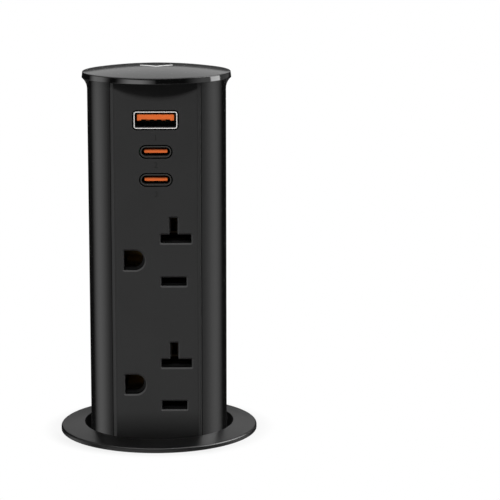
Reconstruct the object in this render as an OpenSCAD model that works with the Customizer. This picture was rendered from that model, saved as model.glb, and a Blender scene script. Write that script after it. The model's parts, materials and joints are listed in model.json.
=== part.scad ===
// Pop up desk socket: a spring lifted tower with two outlets and three charging ports, in a collar that
// clamps into a desk. Drawn raised, in millimetres. The origin is the centre of the flange on the desk top,
// +Z is up and the outlets face -Y.

/* [Collar and sleeve] */
// Outer diameter of the flange on the desk
flange_d = 59; // [56:0.5:70]
// Thickness of the flange at the well
flange_h = 2.3; // [2:0.1:2.5]
// Fall of the flange's top from the well to its rim
flange_fall = 1; // [0:0.1:1.2]
// Height of the rounded edge of the flange
flange_round = 0.5; // [0.3:0.1:0.6]
// Diameter of the well that takes the lid
well_d = 44.6; // [44.4:0.1:47]
// Wall of the sleeve over its thread
sleeve_wall = 2.4; // [2:0.1:3]
// Plain neck of the sleeve, under the flange
neck_len = 6; // [3:0.5:8]
// Length of the thread below the neck
thread_len = 48; // [45:3:60]
// Pitch of the thread
thread_pitch = 3; // [2:0.5:4]
// Depth of the thread
thread_depth = 1; // [0.6:0.1:1.2]
// Height of the lip that guides the tower
lip_h = 6; // [4:0.5:9]
// Height left between the flared neck and the lip when the tower is pressed home
lip_room = 1.8; // [1:0.1:4]
// Thickness of the gasket, which is let into the flange
gasket_h = 0.6; // [0.3:0.1:0.8]
// Width of the gasket
gasket_w = 2.6; // [1.5:0.1:3]

/* [Clamp] */
// Thickness of the desk that the clamp is set to
desk_t = 25; // [12:1:38]
// Outer diameter of the washer
washer_d = 66; // [62:1:76]
// Thickness of the washer
washer_h = 2; // [1:0.5:3]
// Outer diameter of the nut, without its ribs
nut_d = 60; // [57:1:62]
// Height of the nut
nut_h = 10; // [6:1:14]
// Number of grip ribs on the nut
nut_ribs = 10; // [6:1:16]
// Radius of a grip rib
nut_rib_r = 2; // [1.5:0.1:2.5]
// Distance from the top of a grip rib to the nut's top
nut_rib_short = 1; // [0:0.5:3]

/* [Tower] */
// Diameter of the tower
tower_d = 40.9; // [40:0.1:41.5]
// Height of the lid's rim above the desk, raised
tower_h = 108; // [104:1:125]
// Length of the tower that stays in the sleeve, raised
tower_tail = 24; // [20:1:40]
// Width of the flat front
flat_w = 25.3; // [24:0.1:26]
// Wall of the shells
shell_wall = 1.8; // [1.4:0.1:2.2]
// Angle from the front to the seam of the two shells, in degrees
seam_angle = 80; // [75:1:88]
// Width of the strip of flat on each side of the panel
frame_w = 0.55; // [0.4:0.05:1]
// Thickness of the socket panel
panel_t = 2.2; // [1.8:0.1:3]
// Thickness of the web behind the panel
web_t = 1.5; // [1:0.1:2]
// Travel below the closed position, which works the latch
push_travel = 2.3; // [1:0.1:2.5]

/* [Lid] */
// Diameter of the lid
lid_d = 44; // [43:0.1:44.2]
// Height of the lid's rim
lid_h = 1.65; // [1.2:0.05:2.5]
// Rise of the dome above the rim
lid_rise = 1.8; // [0.5:0.1:2.5]
// Height of the flared neck under the lid
flare_h = 3.5; // [2:0.1:4]

/* [Outlets] */
// Distance from the lower small port down to the upper outlet's centre
outlet_drop = 23.7; // [23:0.1:26]
// Distance between the outlets
outlet_pitch = 37.2; // [36:0.1:40]
// Distance of the blade line to the right of the middle
blade_x = 5; // [4.5:0.1:5.5]
// Distance between the two blades of a plug
blade_gap = 12.7; // [12.5:0.1:12.9]
// Distance from the blade line to the ground pin
ground_gap = 11.9; // [11.7:0.1:12.1]
// Width of the hot slot
hot_w = 7.2; // [7:0.1:8]
// Height of the hot slot
hot_h = 2.3; // [2:0.1:2.6]
// Width of the bar of the T slot
tee_w = 8.6; // [8:0.1:9]
// Height of the bar of the T slot
tee_h = 2.3; // [2:0.1:2.6]
// Shift of the bar of the T slot to the right of the blade line
tee_shift = 0.65; // [0.3:0.05:0.9]
// Width of the stem of the T slot
stem_w = 2; // [1.8:0.1:2.4]
// Height of the stem above the middle of the bar
stem_h = 6.1; // [5.5:0.1:6.5]
// Height of the ground hole
ground_h = 5.6; // [5.2:0.1:6]
// Width of the ground hole, from its flat side to its round side
ground_w = 5.4; // [5.2:0.1:6.2]
// Shift of the ground hole to the right of the ground pin
ground_shift = 0.15; // [0:0.05:0.4]
// Chamfer round each opening
slot_chamfer = 0.55; // [0.1:0.05:0.6]
// Depth that a plug's longest pin reaches behind the panel's face
plug_depth = 22; // [20:0.5:23]
// Thickness of the contact strips
strip_t = 0.8; // [0.5:0.1:1]
// Width of the contact strips
strip_w = 2; // [1.5:0.1:2.2]
// Thickness of a contact leaf
leaf_t = 0.5; // [0.3:0.1:0.6]

/* [Ports] */
// Distance from the lid's rim down to the large port
port_a_drop = 12.6; // [12:0.1:14]
// Distance from the large port down to the upper small port
port_c_drop = 9.2; // [8.5:0.1:10]
// Distance between the small ports
port_c_pitch = 8.2; // [7:0.1:9]
// Width of the large port's shell
port_a_w = 12.7; // [12.5:0.1:13.1]
// Height of the large port's shell
port_a_h = 5.1; // [4.9:0.1:5.5]
// Width of a small port's shell
port_c_w = 9; // [8.9:0.1:9.2]
// Height of a small port's shell
port_c_h = 3.3; // [3.2:0.1:3.4]
// Wall of a port's shell
port_wall = 0.35; // [0.25:0.05:0.4]
// Gap between a port's shell and the panel
port_gap = 0.28; // [0.1:0.02:0.4]
// Thickness of the charger board
board_t = 1.6; // [1:0.1:2]
// Depth from the panel's face to the charger board
board_depth = 14.4; // [13.5:0.1:16]

/* [Lift and latch] */
// Wire of the lift spring
spring_wire = 1.4; // [1:0.1:1.8]
// Mean diameter of the lift spring
spring_d = 39; // [38.6:0.1:40]
// Active turns of the lift spring
spring_turns = 9; // [7:1:10]
// Height left for the squeezed spring
spring_room = 22; // [20:1:30]
// Length of the striker's neck
striker_neck = 6; // [5:0.5:8]
// Radius of the striker's head
striker_head_r = 2.8; // [2.4:0.1:3]
// Height of the jaws' pivots above the bottom cap
pivot_h = 8; // [6:0.5:8]
// Distance of each jaw's pivot from the middle
pivot_x = 6; // [5.8:0.1:6.5]
// Radius of the jaws' pins
pin_r = 1; // [0.8:0.1:1.2]
// Bore of the cord inlet
cord_d = 8; // [6:0.5:8.5]

/* [Hidden] */
$fn = 96;

// Clearances
pin_gap = 0.05;
seat_gap = 0.05;
slide_gap = 0.25;
reveal = 0.1;
stop_gap = 0.1;
strip_gap = 0.3;
nut_gap = 0.1;

// Overlap of joined bodies, and the run of a cutting body past the face that it cuts
eps = 0.01;
over = 1;

// Radii of the collar and the sleeve
flange_r = flange_d / 2;
well_r = well_d / 2;
neck_r = well_r + sleeve_wall;
root_r = neck_r - thread_depth;
gasket_inset = 0.5;
gasket_r = neck_r + gasket_inset;
edge_round = 0.25;

// Section of the tower
tower_r = tower_d / 2;
bore_r = tower_r - shell_wall;
flat_y = sqrt(tower_r * tower_r - flat_w * flat_w / 4);
panel_w = flat_w - 2 * frame_w;
web_front = -(flat_y - panel_t);
web_back = web_front + web_t;
far = 2 * flange_r;

// Heights of the tower, raised
lid_r = lid_d / 2;
shell_top = tower_h - lid_h;
shell_bottom = -tower_tail;
travel = tower_h - flange_h + push_travel;

// Heights of the sleeve
lip_top = flange_h - push_travel - lid_h - flare_h - lip_room;
lip_bottom = lip_top - lip_h;
bumper_h = 1;
carriage_r = well_r - slide_gap;
carriage_floor = 3;
carriage_top = lip_bottom - bumper_h - stop_gap;
carriage_bottom = shell_bottom - carriage_floor;
cap_top = carriage_bottom - travel - spring_room;
cap_plug_h = 5;
cap_rim_h = 2;
sleeve_bottom = cap_top - cap_plug_h;
cap_bottom = sleeve_bottom - cap_rim_h;

// Fasteners: radius of a screw's shank and of its head, and the head's height
screw_r = 1.2;
head_r = 2;
head_h = 1.5;
small_r = 1;
small_head_r = 1.8;
small_head_h = 0.9;

// Screw ports in the foot of the shells
port_boss_r = 2.4;
port_bite = 0.3;
port_ring_r = bore_r - port_boss_r + port_bite;
port_depth = 14;
port_screw_short = 4;
front_port_angle = 62;
rear_port_angle = 130;
all_port_angles = [-front_port_angle, front_port_angle, -rear_port_angle, rear_port_angle];

// Radial screws of the bottom cap
cap_screw_angles = [30, 150, 270];
cap_screw_z = sleeve_bottom + cap_plug_h / 2;
cap_screw_len = 5.5;
cap_screw_room = 0.3;

// Cord inlet
cord_r = cord_d / 2;
grommet_wall = 1;
grommet_rim = 1.2;
grommet_rim_h = 1.5;
grommet_gap = 0.4;
grommet_r = cord_r + grommet_wall + grommet_rim;
cord_y = spring_d / 2 - spring_wire / 2 - grommet_gap - grommet_r;

// Lid fixing
spigot_h = 3.5;
spigot_wall = 1.8;
spigot_gap = 0.6;
bridge_h = 2;
bridge_drop = 4.5;
bridge_top = shell_top - bridge_drop;
ledge_w = 1.6;
ledge_h = 1.8;
lid_screw_x = 9;
lid_screw_y = 3;
lid_screw_bite = 3;

// Heights of the ports and the outlets
port_a_z = tower_h - port_a_drop;
port_c_upper_z = port_a_z - port_c_drop;
port_c_lower_z = port_c_upper_z - port_c_pitch;
port_heights = [port_c_upper_z, port_c_lower_z];
upper_outlet_z = port_c_lower_z - outlet_drop;
lower_outlet_z = upper_outlet_z - outlet_pitch;
outlet_heights = [lower_outlet_z, upper_outlet_z];

// Outlets: place of the ground hole, and room round the openings in the web
ground_x = blade_x - ground_gap;
ground_left = ground_x + ground_shift - ground_w / 2;
ground_round_x = ground_left + ground_w - ground_h / 2;
slot_room = 1.2;

// Contact block behind the web
block_w = 26;
block_front_wall = 1.6;
block_foot = 10.5;
block_head = 15;
plug_room = 0.1;
cover_gap = 0.2;
strip_front = -flat_y + plug_depth + plug_room;
strip_back = strip_front + strip_t;
block_back = strip_back + cover_gap;
block_front = web_back + seat_gap;
pocket_front = block_front + block_front_wall;
leaf_set_back = 0.6;
leaf_front = pocket_front + leaf_set_back;
block_bottom = lower_outlet_z - block_foot;
block_top = upper_outlet_z + block_head;
cover_t = 1.6;
pocket_room = 0.4;

// Lanes of the three strips, left edge of each
hot_lane_shift = 4.6;
neutral_lane_shift = 6.4;
ground_lane_shift = 4.3;
hot_lane = blade_x + hot_lane_shift;
neutral_lane = blade_x - neutral_lane_shift;
ground_lane = ground_x - ground_lane_shift;
strip_lanes = [hot_lane, neutral_lane, ground_lane];

// Screws of the contact block, between the outlets and clear of the lanes
block_screw_wall = 1.1;
block_screw_rise = 1;
block_screw_x = [neutral_lane - strip_gap - block_screw_wall - screw_r, blade_x];
block_screw_z = (lower_outlet_z + upper_outlet_z) / 2 + block_screw_rise;

// Contact leaves
leaf_tie = 2;
ground_short = 1;
blade_leaf_gap = 1.6;
blade_leaf_w = 7;
ground_leaf_gap = 4.9;
ground_leaf_w = 4.6;
blade_reach = blade_leaf_gap / 2 + leaf_t;
ground_reach = ground_leaf_gap / 2 + leaf_t;
blade_pocket = blade_reach + pocket_room;
ground_pocket = ground_reach + pocket_room;

// Terminal block on the carriage
terminal_h = 15;
terminal_depth = 5.2;
terminal_back_wall = 0.8;
terminal_w = 26;
terminal_front = strip_front - terminal_depth;
strip_lift = 4;
strip_bottom = shell_bottom + strip_lift;
terminal_screw_lift = 9;
terminal_screw_z = shell_bottom + terminal_screw_lift;

// Charger
board_front = -flat_y + board_depth;
board_back = board_front + board_t;
board_w = 24.4;
board_drop = 6;
board_room = 0.6;
board_bottom = port_c_lower_z - board_drop;
board_top = bridge_top - bridge_h - board_room;
tab_lift = 1.6;
tab_z = board_bottom + tab_lift;
post_r = 2.2;
post_inset = 2;
post_x = board_w / 2 - post_inset;
post_foot = 5.2;
post_head = 3.6;
post_heights = [board_bottom + post_foot, board_top - post_head];
board_screw_bite = 6;
board_screw_room = 0.4;
port_recess = 0.1;
port_front = -flat_y + port_recess;
port_corner = 0.8;
tongue_a_w = 10.7;
tongue_a_h = 2;
tongue_a_lift = 0.75;
tongue_a_depth = 0.9;
tongue_c_w = 6.7;
tongue_c_h = 1.2;
tongue_c_lift = 0.12;
tongue_c_depth = 1.9;
contact_xs = [-3.5, -1, 1, 3.5];
contact_w = 1.2;
contact_t = 0.25;
contact_set_back = 1;
transformer_w = 14;
transformer_h = 12;
transformer_depth = 11;
transformer_z = (port_a_z + port_c_upper_z) / 2;
capacitor_r = 3.1;
capacitor_len = 11;
capacitor_x = 5;
capacitor_lift = 2;

// Lift spring
spring_steps = 16;
spring_sides = 6;
spring_end_gap = 0.5;
spring_end_pitch = spring_wire + spring_end_gap;
spring_low = cap_top + spring_wire / 2 + seat_gap;
spring_high = carriage_bottom - spring_wire / 2 - seat_gap;

// Latch: the striker hangs from the carriage, and the jaws close over its head
striker_neck_r = 1.4;
striker_head_h = 3;
striker_taper = 1;
striker_shank_r = 2;
jaw_arm_t = 2;
jaw_boss_r = 2.4;
jaw_y = [-2.6, 0.7];
jaw_open = 1;
hook_gap = 0.65;
hook_h = 2;
pivot_z = cap_top + pivot_h;
latched_head_top = carriage_bottom - travel + push_travel - striker_neck;
hook_bottom = latched_head_top + hook_gap;
cheek_y = 2.9;
cheek_t = 1.6;
latch_w = 20;
latch_base_h = 2;
cheek_rise = 3.5;
cheek_inset = 0.5;
latch_screw_x = 2.6;
latch_screw_bite = 3.5;
latch_screw_room = 0.5;
coil_wire = 0.45;
coil_turns = 2;
coil_steps = 8;
coil_pitch = 0.9;
coil_gap = 0.75;
coil_r = pin_r + coil_gap;

// Box between two corners
module box(low, high) {
    translate(low)
        cube(high - low);
}

// Upright ring between two radii and two heights
module ring(r_in, r_out, low, high) {
    translate([0, 0, low])
        difference() {
            cylinder(r = r_out, h = high - low);
            translate([0, 0, -over])
                cylinder(r = r_in, h = high - low + 2 * over);
        }
}

// Outline in X and Z, carried along Y from front to back
module along_y(front, back) {
    translate([0, back, 0])
        rotate([90, 0, 0])
            linear_extrude(back - front)
                children();
}

// Rod along Y at a place in X and Z
module rod_y(x, z, r, front, back) {
    translate([x, back, z])
        rotate([90, 0, 0])
            cylinder(r = r, h = back - front);
}

// Rectangle with round corners, centred
module round_rect(w, h, r) {
    square([w - 2 * r, h], center = true);
    square([w, h - 2 * r], center = true);
    for (x = [-1, 1], y = [-1, 1])
        translate([x * (w / 2 - r), y * (h / 2 - r)])
            circle(r);
}

// Upright screw with its head at the bottom: the head's lower face is at z
module screw_up(z, length) {
    translate([0, 0, z])
        cylinder(r = head_r, h = head_h);
    translate([0, 0, z])
        cylinder(r = screw_r, h = length);
}

// Screw along Y, head at the back
module screw_forward(x, z, seat, length) {
    rod_y(x, z, head_r, seat, seat + head_h);
    rod_y(x, z, screw_r, seat - length, seat + head_h / 2);
}

// Places its children at each screw port of the shells, in a list of angles from the front
module at_ports(angles) {
    for (angle = angles)
        translate([port_ring_r * sin(angle), -port_ring_r * cos(angle), 0])
            children();
}

// Places its children at each radial screw of the bottom cap, with +Z pointing outwards
module at_cap_screws() {
    for (angle = cap_screw_angles)
        rotate([0, 0, angle])
            translate([0, 0, cap_screw_z])
                rotate([0, 90, 0])
                    children();
}

// Wedge that holds all directions within an angle of the front
module front_sector(angle) {
    polygon([
        [0, 0],
        [far * sin(angle), -far * cos(angle)],
        [far, -far],
        [-far, -far],
        [-far * sin(angle), -far * cos(angle)]
    ]);
}

// Round outline with the flat front, grown by a gap
module tower_outline(gap) {
    difference() {
        circle(tower_r + gap);
        translate([-far, -flat_y - gap - far])
            square([2 * far, far]);
    }
}

// Inside of the tower behind the web, drawn in by a gap
module tower_inside(gap) {
    difference() {
        circle(bore_r - gap);
        translate([-far, web_back + gap - far])
            square([2 * far, far]);
    }
}

// Helix through a tube: points of one ring of the wire at each step, joined into one closed skin
function helix_frame(r, angle, rise) =
    let (tangent = [-r * sin(angle), r * cos(angle), rise])
    let (t = tangent / norm(tangent))
    let (out = [cos(angle), sin(angle), 0])
    [out, cross(t, out)];

function helix_ring(r, wire, angle, z, rise, sides) =
    let (f = helix_frame(r, angle, rise))
    [for (k = [0 : sides - 1])
        let (a = 360 * k / sides)
        [r * cos(angle), r * sin(angle), z] + wire / 2 * (cos(a) * f[0] + sin(a) * f[1])];

module helix_tube(r, wire, stations, sides) {
    count = len(stations);
    points = [for (s = stations) each helix_ring(r, wire, s[0], s[1], s[2], sides)];
    skin = [for (i = [0 : count - 2], k = [0 : sides - 1])
        let (a = i * sides + k, b = i * sides + (k + 1) % sides)
        each [[a, b, b + sides], [a, b + sides, a + sides]]];
    start = [for (k = [1 : sides - 2]) [0, k + 1, k]];
    last = (count - 1) * sides;
    end = [for (k = [1 : sides - 2]) [last, last + k, last + k + 1]];
    polyhedron(points = points, faces = [for (f = concat(skin, start, end)) [f[0], f[2], f[1]]]);
}

// Least gap between a helix and its own next turns, measured on its points
function least_gap(r, wire, stations, steps) =
    let (path = [for (s = stations) [r * cos(s[0]), r * sin(s[0]), s[1]]])
    let (last = len(path) - 1)
    min([for (i = [0 : last - steps / 2], j = [i + steps / 2 : min(i + 2 * steps, last)])
        norm(path[j] - path[i])]) - wire;

// Height of the lift spring's wire after a number of turns: close end turns, open turns between them
spring_pitch = (spring_high - spring_low - 2 * spring_end_pitch) / spring_turns;
function spring_rise(turn) =
    turn < 1 || turn > spring_turns + 1 ? spring_end_pitch : spring_pitch;
function spring_height(turn) =
    turn < 1 ? spring_low + turn * spring_end_pitch
    : turn < spring_turns + 1 ? spring_low + spring_end_pitch + (turn - 1) * spring_pitch
    : spring_high - (spring_turns + 2 - turn) * spring_end_pitch;

// Angle, height and rise of the springs' wire at each step
spring_stations = [for (i = [0 : (spring_turns + 2) * spring_steps])
    let (turn = i / spring_steps)
    [360 * turn, spring_height(turn), spring_rise(turn) / (2 * PI)]];
coil_stations = [for (i = [0 : coil_turns * coil_steps])
    [360 * i / coil_steps, coil_pitch * i / coil_steps, coil_pitch / (2 * PI)]];
echo(lift_spring_gap = least_gap(spring_d / 2, spring_wire, spring_stations, spring_steps));
echo(jaw_spring_gap = least_gap(coil_r, coil_wire, coil_stations, coil_steps));

// Collar and sleeve in one moulding: flange, well, neck, thread, guide lip and tube
rim_top = flange_h - flange_fall;
flange_edge = [for (a = [0 : 10 : 90])
    [flange_r - flange_round + flange_round * sin(a), rim_top - flange_round + flange_round * cos(a)]];
thread_flank = 0.2 * thread_pitch;
thread_root = 0.3 * thread_pitch;
thread_count = floor(thread_len / thread_pitch);
thread_teeth = [for (i = [0 : thread_count - 1])
    let (z = -neck_len - i * thread_pitch)
    each [
        [neck_r, z],
        [root_r, z - thread_flank],
        [root_r, z - thread_flank - thread_root],
        [neck_r, z - 2 * thread_flank - thread_root]
    ]];

module collar_sleeve() {
    color([0.17, 0.17, 0.17])
        difference() {
            rotate_extrude()
                polygon(concat(
                    [[well_r + edge_round, flange_h]],
                    flange_edge,
                    [[flange_r, 0], [gasket_r + gasket_w, 0], [gasket_r + gasket_w, gasket_h]],
                    [[gasket_r, gasket_h], [gasket_r, 0], [neck_r, 0]],
                    thread_teeth,
                    [[neck_r, -neck_len - thread_count * thread_pitch]],
                    [[root_r, -neck_len - thread_count * thread_pitch - thread_depth]],
                    [[root_r, sleeve_bottom], [well_r, sleeve_bottom]],
                    [[well_r, lip_bottom], [0, lip_bottom], [0, lip_top], [well_r, lip_top]],
                    [[well_r, flange_h - edge_round]]
                ));
            translate([0, 0, lip_bottom - over])
                linear_extrude(lip_h + 2 * over)
                    tower_outline(slide_gap);
            at_cap_screws() {
                translate([0, 0, well_r - over])
                    cylinder(r = small_r + pin_gap, h = sleeve_wall + 2 * over);
                translate([0, 0, root_r - small_head_h])
                    cylinder(r = small_head_r + pin_gap, h = small_head_h + over);
            }
        }
}

module flange_gasket() {
    color([0.08, 0.08, 0.08])
        ring(gasket_r + seat_gap, gasket_r + gasket_w - seat_gap, 0, gasket_h);
}

module stop_bumper() {
    color([0.1, 0.1, 0.1])
        ring(tower_r + 2 * slide_gap, well_r - seat_gap, lip_bottom - bumper_h, lip_bottom);
}

module clamp_washer() {
    color([0.6, 0.6, 0.62])
        ring(neck_r + slide_gap, washer_d / 2, -desk_t - washer_h, -desk_t);
}

module clamp_nut() {
    nut_top = -desk_t - washer_h - seat_gap;
    color([0.12, 0.12, 0.12])
        difference() {
            union() {
                translate([0, 0, nut_top - nut_h])
                    cylinder(r = nut_d / 2, h = nut_h);
                for (i = [0 : nut_ribs - 1])
                    rotate([0, 0, 360 * i / nut_ribs])
                        translate([nut_d / 2, 0, nut_top - nut_h])
                            cylinder(r = nut_rib_r, h = nut_h - nut_rib_short);
            }
            translate([0, 0, nut_top - nut_h - over])
                cylinder(r = neck_r + nut_gap, h = nut_h + 2 * over);
        }
}

module bottom_cap() {
    color([0.12, 0.12, 0.12])
        difference() {
            union() {
                translate([0, 0, cap_bottom])
                    cylinder(r = root_r, h = cap_rim_h);
                translate([0, 0, sleeve_bottom])
                    cylinder(r = well_r - seat_gap, h = cap_plug_h);
            }
            translate([0, cord_y, cap_bottom - over])
                cylinder(r = cord_r + grommet_wall + seat_gap, h = cap_rim_h + cap_plug_h + 2 * over);
            at_cap_screws()
                translate([0, 0, root_r - cap_screw_len - cap_screw_room])
                    cylinder(r = small_r + pin_gap, h = cap_screw_len + cap_screw_room + over);
            for (x = [-1, 1])
                translate([x * latch_screw_x, 0, cap_top - latch_screw_bite - latch_screw_room])
                    cylinder(r = small_r + pin_gap, h = latch_screw_bite + latch_screw_room + over);
        }
}

module bottom_cap_screws() {
    color([0.55, 0.55, 0.57])
        at_cap_screws() {
            translate([0, 0, root_r - cap_screw_len])
                cylinder(r = small_r, h = cap_screw_len - small_head_h / 2);
            translate([0, 0, root_r - small_head_h + pin_gap])
                cylinder(r = small_head_r, h = small_head_h - 2 * pin_gap);
        }
}

module cord_grommet() {
    color([0.06, 0.06, 0.06])
        translate([0, cord_y, 0]) {
            ring(cord_r, cord_r + grommet_wall, cap_bottom - grommet_rim_h, cap_top + grommet_rim_h);
            ring(cord_r, grommet_r, cap_top, cap_top + grommet_rim_h);
            ring(cord_r, grommet_r, cap_bottom - grommet_rim_h, cap_bottom);
        }
}

module lift_spring() {
    color([0.65, 0.66, 0.68])
        helix_tube(spring_d / 2, spring_wire, spring_stations, spring_sides);
}

// Base on the bottom cap, with two cheeks that hold the jaws' pins
module latch_body() {
    color([0.75, 0.75, 0.72])
        difference() {
            union() {
                box([-latch_w / 2, -cheek_y - cheek_t, cap_top],
                    [latch_w / 2, cheek_y + cheek_t, cap_top + latch_base_h]);
                for (y = [-cheek_y - cheek_t, cheek_y])
                    box([-latch_w / 2 + cheek_inset, y, cap_top],
                        [latch_w / 2 - cheek_inset, y + cheek_t, pivot_z + cheek_rise]);
            }
            for (x = [-1, 1]) {
                rod_y(x * pivot_x, pivot_z, pin_r + pin_gap / 2,
                      -cheek_y - cheek_t - over, cheek_y + cheek_t + over);
                translate([x * latch_screw_x, 0, cap_top - over])
                    cylinder(r = small_r + pin_gap, h = latch_base_h + 2 * over);
            }
        }
}

module latch_screws() {
    color([0.55, 0.55, 0.57])
        for (x = [-1, 1])
            translate([x * latch_screw_x, 0, cap_top + latch_base_h]) {
                cylinder(r = small_head_r, h = small_head_h);
                translate([0, 0, -latch_base_h - latch_screw_bite])
                    cylinder(r = small_r, h = latch_base_h + latch_screw_bite + small_head_h / 2);
            }
}

module latch_pins() {
    color([0.7, 0.7, 0.72])
        for (x = [-1, 1])
            rod_y(x * pivot_x, pivot_z, pin_r, -cheek_y - cheek_t, cheek_y + cheek_t);
}

module jaw_springs() {
    span = coil_turns * coil_pitch;
    color([0.65, 0.66, 0.68])
        for (x = [-1, 1])
            translate([x * pivot_x, jaw_y[1] + (cheek_y - jaw_y[1] - span) / 2, pivot_z])
                rotate([-90, 0, 0])
                    helix_tube(coil_r, coil_wire, coil_stations, spring_sides);
}

// One jaw, drawn open: a boss on its pin, an arm and a hook that reaches over the striker's head
module jaw() {
    tip = striker_head_r + jaw_open;
    arm = pivot_x - jaw_arm_t / 2;
    color([0.8, 0.8, 0.78])
        difference() {
            union() {
                rod_y(pivot_x, pivot_z, jaw_boss_r, jaw_y[0], jaw_y[1]);
                box([arm, jaw_y[0], pivot_z], [arm + jaw_arm_t, jaw_y[1], hook_bottom + hook_h]);
                box([tip, jaw_y[0], hook_bottom], [arm + jaw_arm_t, jaw_y[1], hook_bottom + hook_h]);
            }
            rod_y(pivot_x, pivot_z, pin_r + pin_gap, jaw_y[0] - over, jaw_y[1] + over);
        }
}

module latch_jaw_left() {
    mirror([1, 0, 0])
        jaw();
}

module latch_jaw_right() {
    jaw();
}

// Lid: a shallow dome with a thin rim, a spigot inside the shells and two screw bosses
module lid() {
    dome_r = (lid_r * lid_r + lid_rise * lid_rise) / (2 * lid_rise);
    dome_angle = asin((lid_r - edge_round) / dome_r);
    dome_steps = 12;
    dome = [for (i = [0 : dome_steps])
        let (a = dome_angle * i / dome_steps)
        [dome_r * sin(a), tower_h + lid_rise - dome_r * (1 - cos(a))]];
    color([0.2, 0.2, 0.2])
        difference() {
            union() {
                rotate_extrude()
                    polygon(concat(dome, [
                        [lid_r, tower_h - edge_round],
                        [lid_r, shell_top + edge_round],
                        [lid_r - edge_round, shell_top],
                        [0, shell_top]
                    ]));
                translate([0, 0, shell_top - spigot_h])
                    linear_extrude(spigot_h + eps)
                        difference() {
                            tower_inside(spigot_gap);
                            circle(bore_r - spigot_gap - spigot_wall);
                        }
                for (x = [-1, 1])
                    translate([x * lid_screw_x, lid_screw_y, bridge_top + seat_gap])
                        cylinder(r = port_boss_r, h = bridge_drop);
            }
            for (x = [-1, 1])
                translate([x * lid_screw_x, lid_screw_y, bridge_top - over])
                    cylinder(r = screw_r + pin_gap, h = bridge_drop);
        }
}

module lid_screws() {
    color([0.55, 0.55, 0.57])
        for (x = [-1, 1])
            translate([x * lid_screw_x, lid_screw_y, 0])
                screw_up(bridge_top - bridge_h - head_h, head_h + bridge_h + lid_screw_bite);
}

module top_bridge() {
    color([0.15, 0.15, 0.15])
        difference() {
            translate([0, 0, bridge_top - bridge_h])
                linear_extrude(bridge_h)
                    tower_inside(2 * reveal);
            for (x = [-1, 1])
                translate([x * lid_screw_x, lid_screw_y, bridge_top - bridge_h - over])
                    cylinder(r = screw_r + pin_gap, h = bridge_h + 2 * over);
        }
}

// Front shell: two columns joined by the web behind the panel, with the windows of the outlets and ports
module front_shell() {
    color([0.13, 0.13, 0.13])
        difference() {
            union() {
                translate([0, 0, shell_bottom])
                    linear_extrude(shell_top - shell_bottom)
                        difference() {
                            intersection() {
                                tower_outline(0);
                                front_sector(seam_angle);
                            }
                            tower_inside(0);
                            translate([-panel_w / 2, web_front - far])
                                square([panel_w, far]);
                        }
                translate([0, 0, shell_bottom])
                    at_ports([-front_port_angle, front_port_angle])
                        cylinder(r = port_boss_r, h = port_depth);
                for (x = [-1, 1], z = post_heights)
                    rod_y(x * post_x, z, post_r, web_back - eps, board_front - seat_gap);
            }
            translate([0, 0, shell_bottom - over])
                at_ports([-front_port_angle, front_port_angle])
                    cylinder(r = screw_r + pin_gap, h = port_depth);
            for (z = outlet_heights)
                box([ground_left - slot_room, web_front - over, z - blade_gap / 2 - hot_h / 2 - slot_room],
                    [blade_x + tee_shift + tee_w / 2 + slot_room, web_back + over,
                     z + blade_gap / 2 + stem_h + slot_room]);
            box([-port_a_w / 2 - slot_room, web_front - over, port_c_lower_z - port_c_h / 2 - slot_room],
                [port_a_w / 2 + slot_room, web_back + over, port_a_z + port_a_h / 2 + slot_room]);
            for (x = [-1, 1], z = post_heights)
                rod_y(x * post_x, z, screw_r + pin_gap,
                      board_front - board_screw_bite - board_screw_room, board_front + over);
            for (x = block_screw_x)
                rod_y(x, block_screw_z, screw_r + pin_gap, web_front - over, web_back + over);
        }
}

// Rear shell: the round back, with the flared neck under the lid and a ledge for the bridge. The flare is an
// arc that leaves the tower's side smoothly and reaches the lid's edge.
module rear_shell() {
    overhang = lid_r - tower_r;
    flare_r = (flare_h * flare_h + overhang * overhang) / (2 * overhang);
    flare_steps = 9;
    flare = [for (i = [0 : flare_steps])
        let (rise = flare_h * (1 - i / flare_steps))
        [tower_r + flare_r - sqrt(flare_r * flare_r - rise * rise), shell_top - flare_h + rise]];
    rear_angle = seam_angle + 2 * asin(reveal / (2 * tower_r));
    color([0.13, 0.13, 0.13])
        difference() {
            union() {
                ring(bore_r, tower_r, shell_bottom, shell_top);
                rotate_extrude()
                    polygon(concat(flare, [[bore_r + shell_wall / 2, shell_top - flare_h],
                        [bore_r + shell_wall / 2, shell_top]]));
                ring(bore_r - ledge_w, bore_r + eps, bridge_top - bridge_h - ledge_h, bridge_top - bridge_h);
                translate([0, 0, shell_bottom])
                    at_ports([-rear_port_angle, rear_port_angle])
                        cylinder(r = port_boss_r, h = port_depth);
            }
            translate([0, 0, shell_bottom - over])
                linear_extrude(shell_top - shell_bottom + 2 * over)
                    front_sector(rear_angle);
            translate([0, 0, shell_bottom - over])
                at_ports([-rear_port_angle, rear_port_angle])
                    cylinder(r = screw_r + pin_gap, h = port_depth);
        }
}

// Trapezium across the panel's face, from one chamfered edge to the other: its first axis runs along the
// opening and its second along Y
module chamfer_section(low, high, grow_low, grow_high) {
    polygon([
        [low - grow_low, -flat_y - eps],
        [high + grow_high, -flat_y - eps],
        [high, -flat_y + slot_chamfer],
        [low, -flat_y + slot_chamfer]
    ]);
}

// Chamfer round a rectangle in the panel's face, as the overlap of two trapezium bars. The right edge of a
// rectangle that meets a round end stays straight.
module chamfer_rect(low, high, right_chamfer) {
    intersection() {
        translate([0, 0, low[1] - over])
            linear_extrude(high[1] - low[1] + 2 * over)
                chamfer_section(low[0], high[0], slot_chamfer, right_chamfer);
        translate([low[0] - over, 0, 0])
            rotate([90, 0, 90])
                linear_extrude(high[0] - low[0] + 2 * over)
                    mirror([1, -1])
                        chamfer_section(low[1], high[1], slot_chamfer, slot_chamfer);
    }
}

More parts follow.
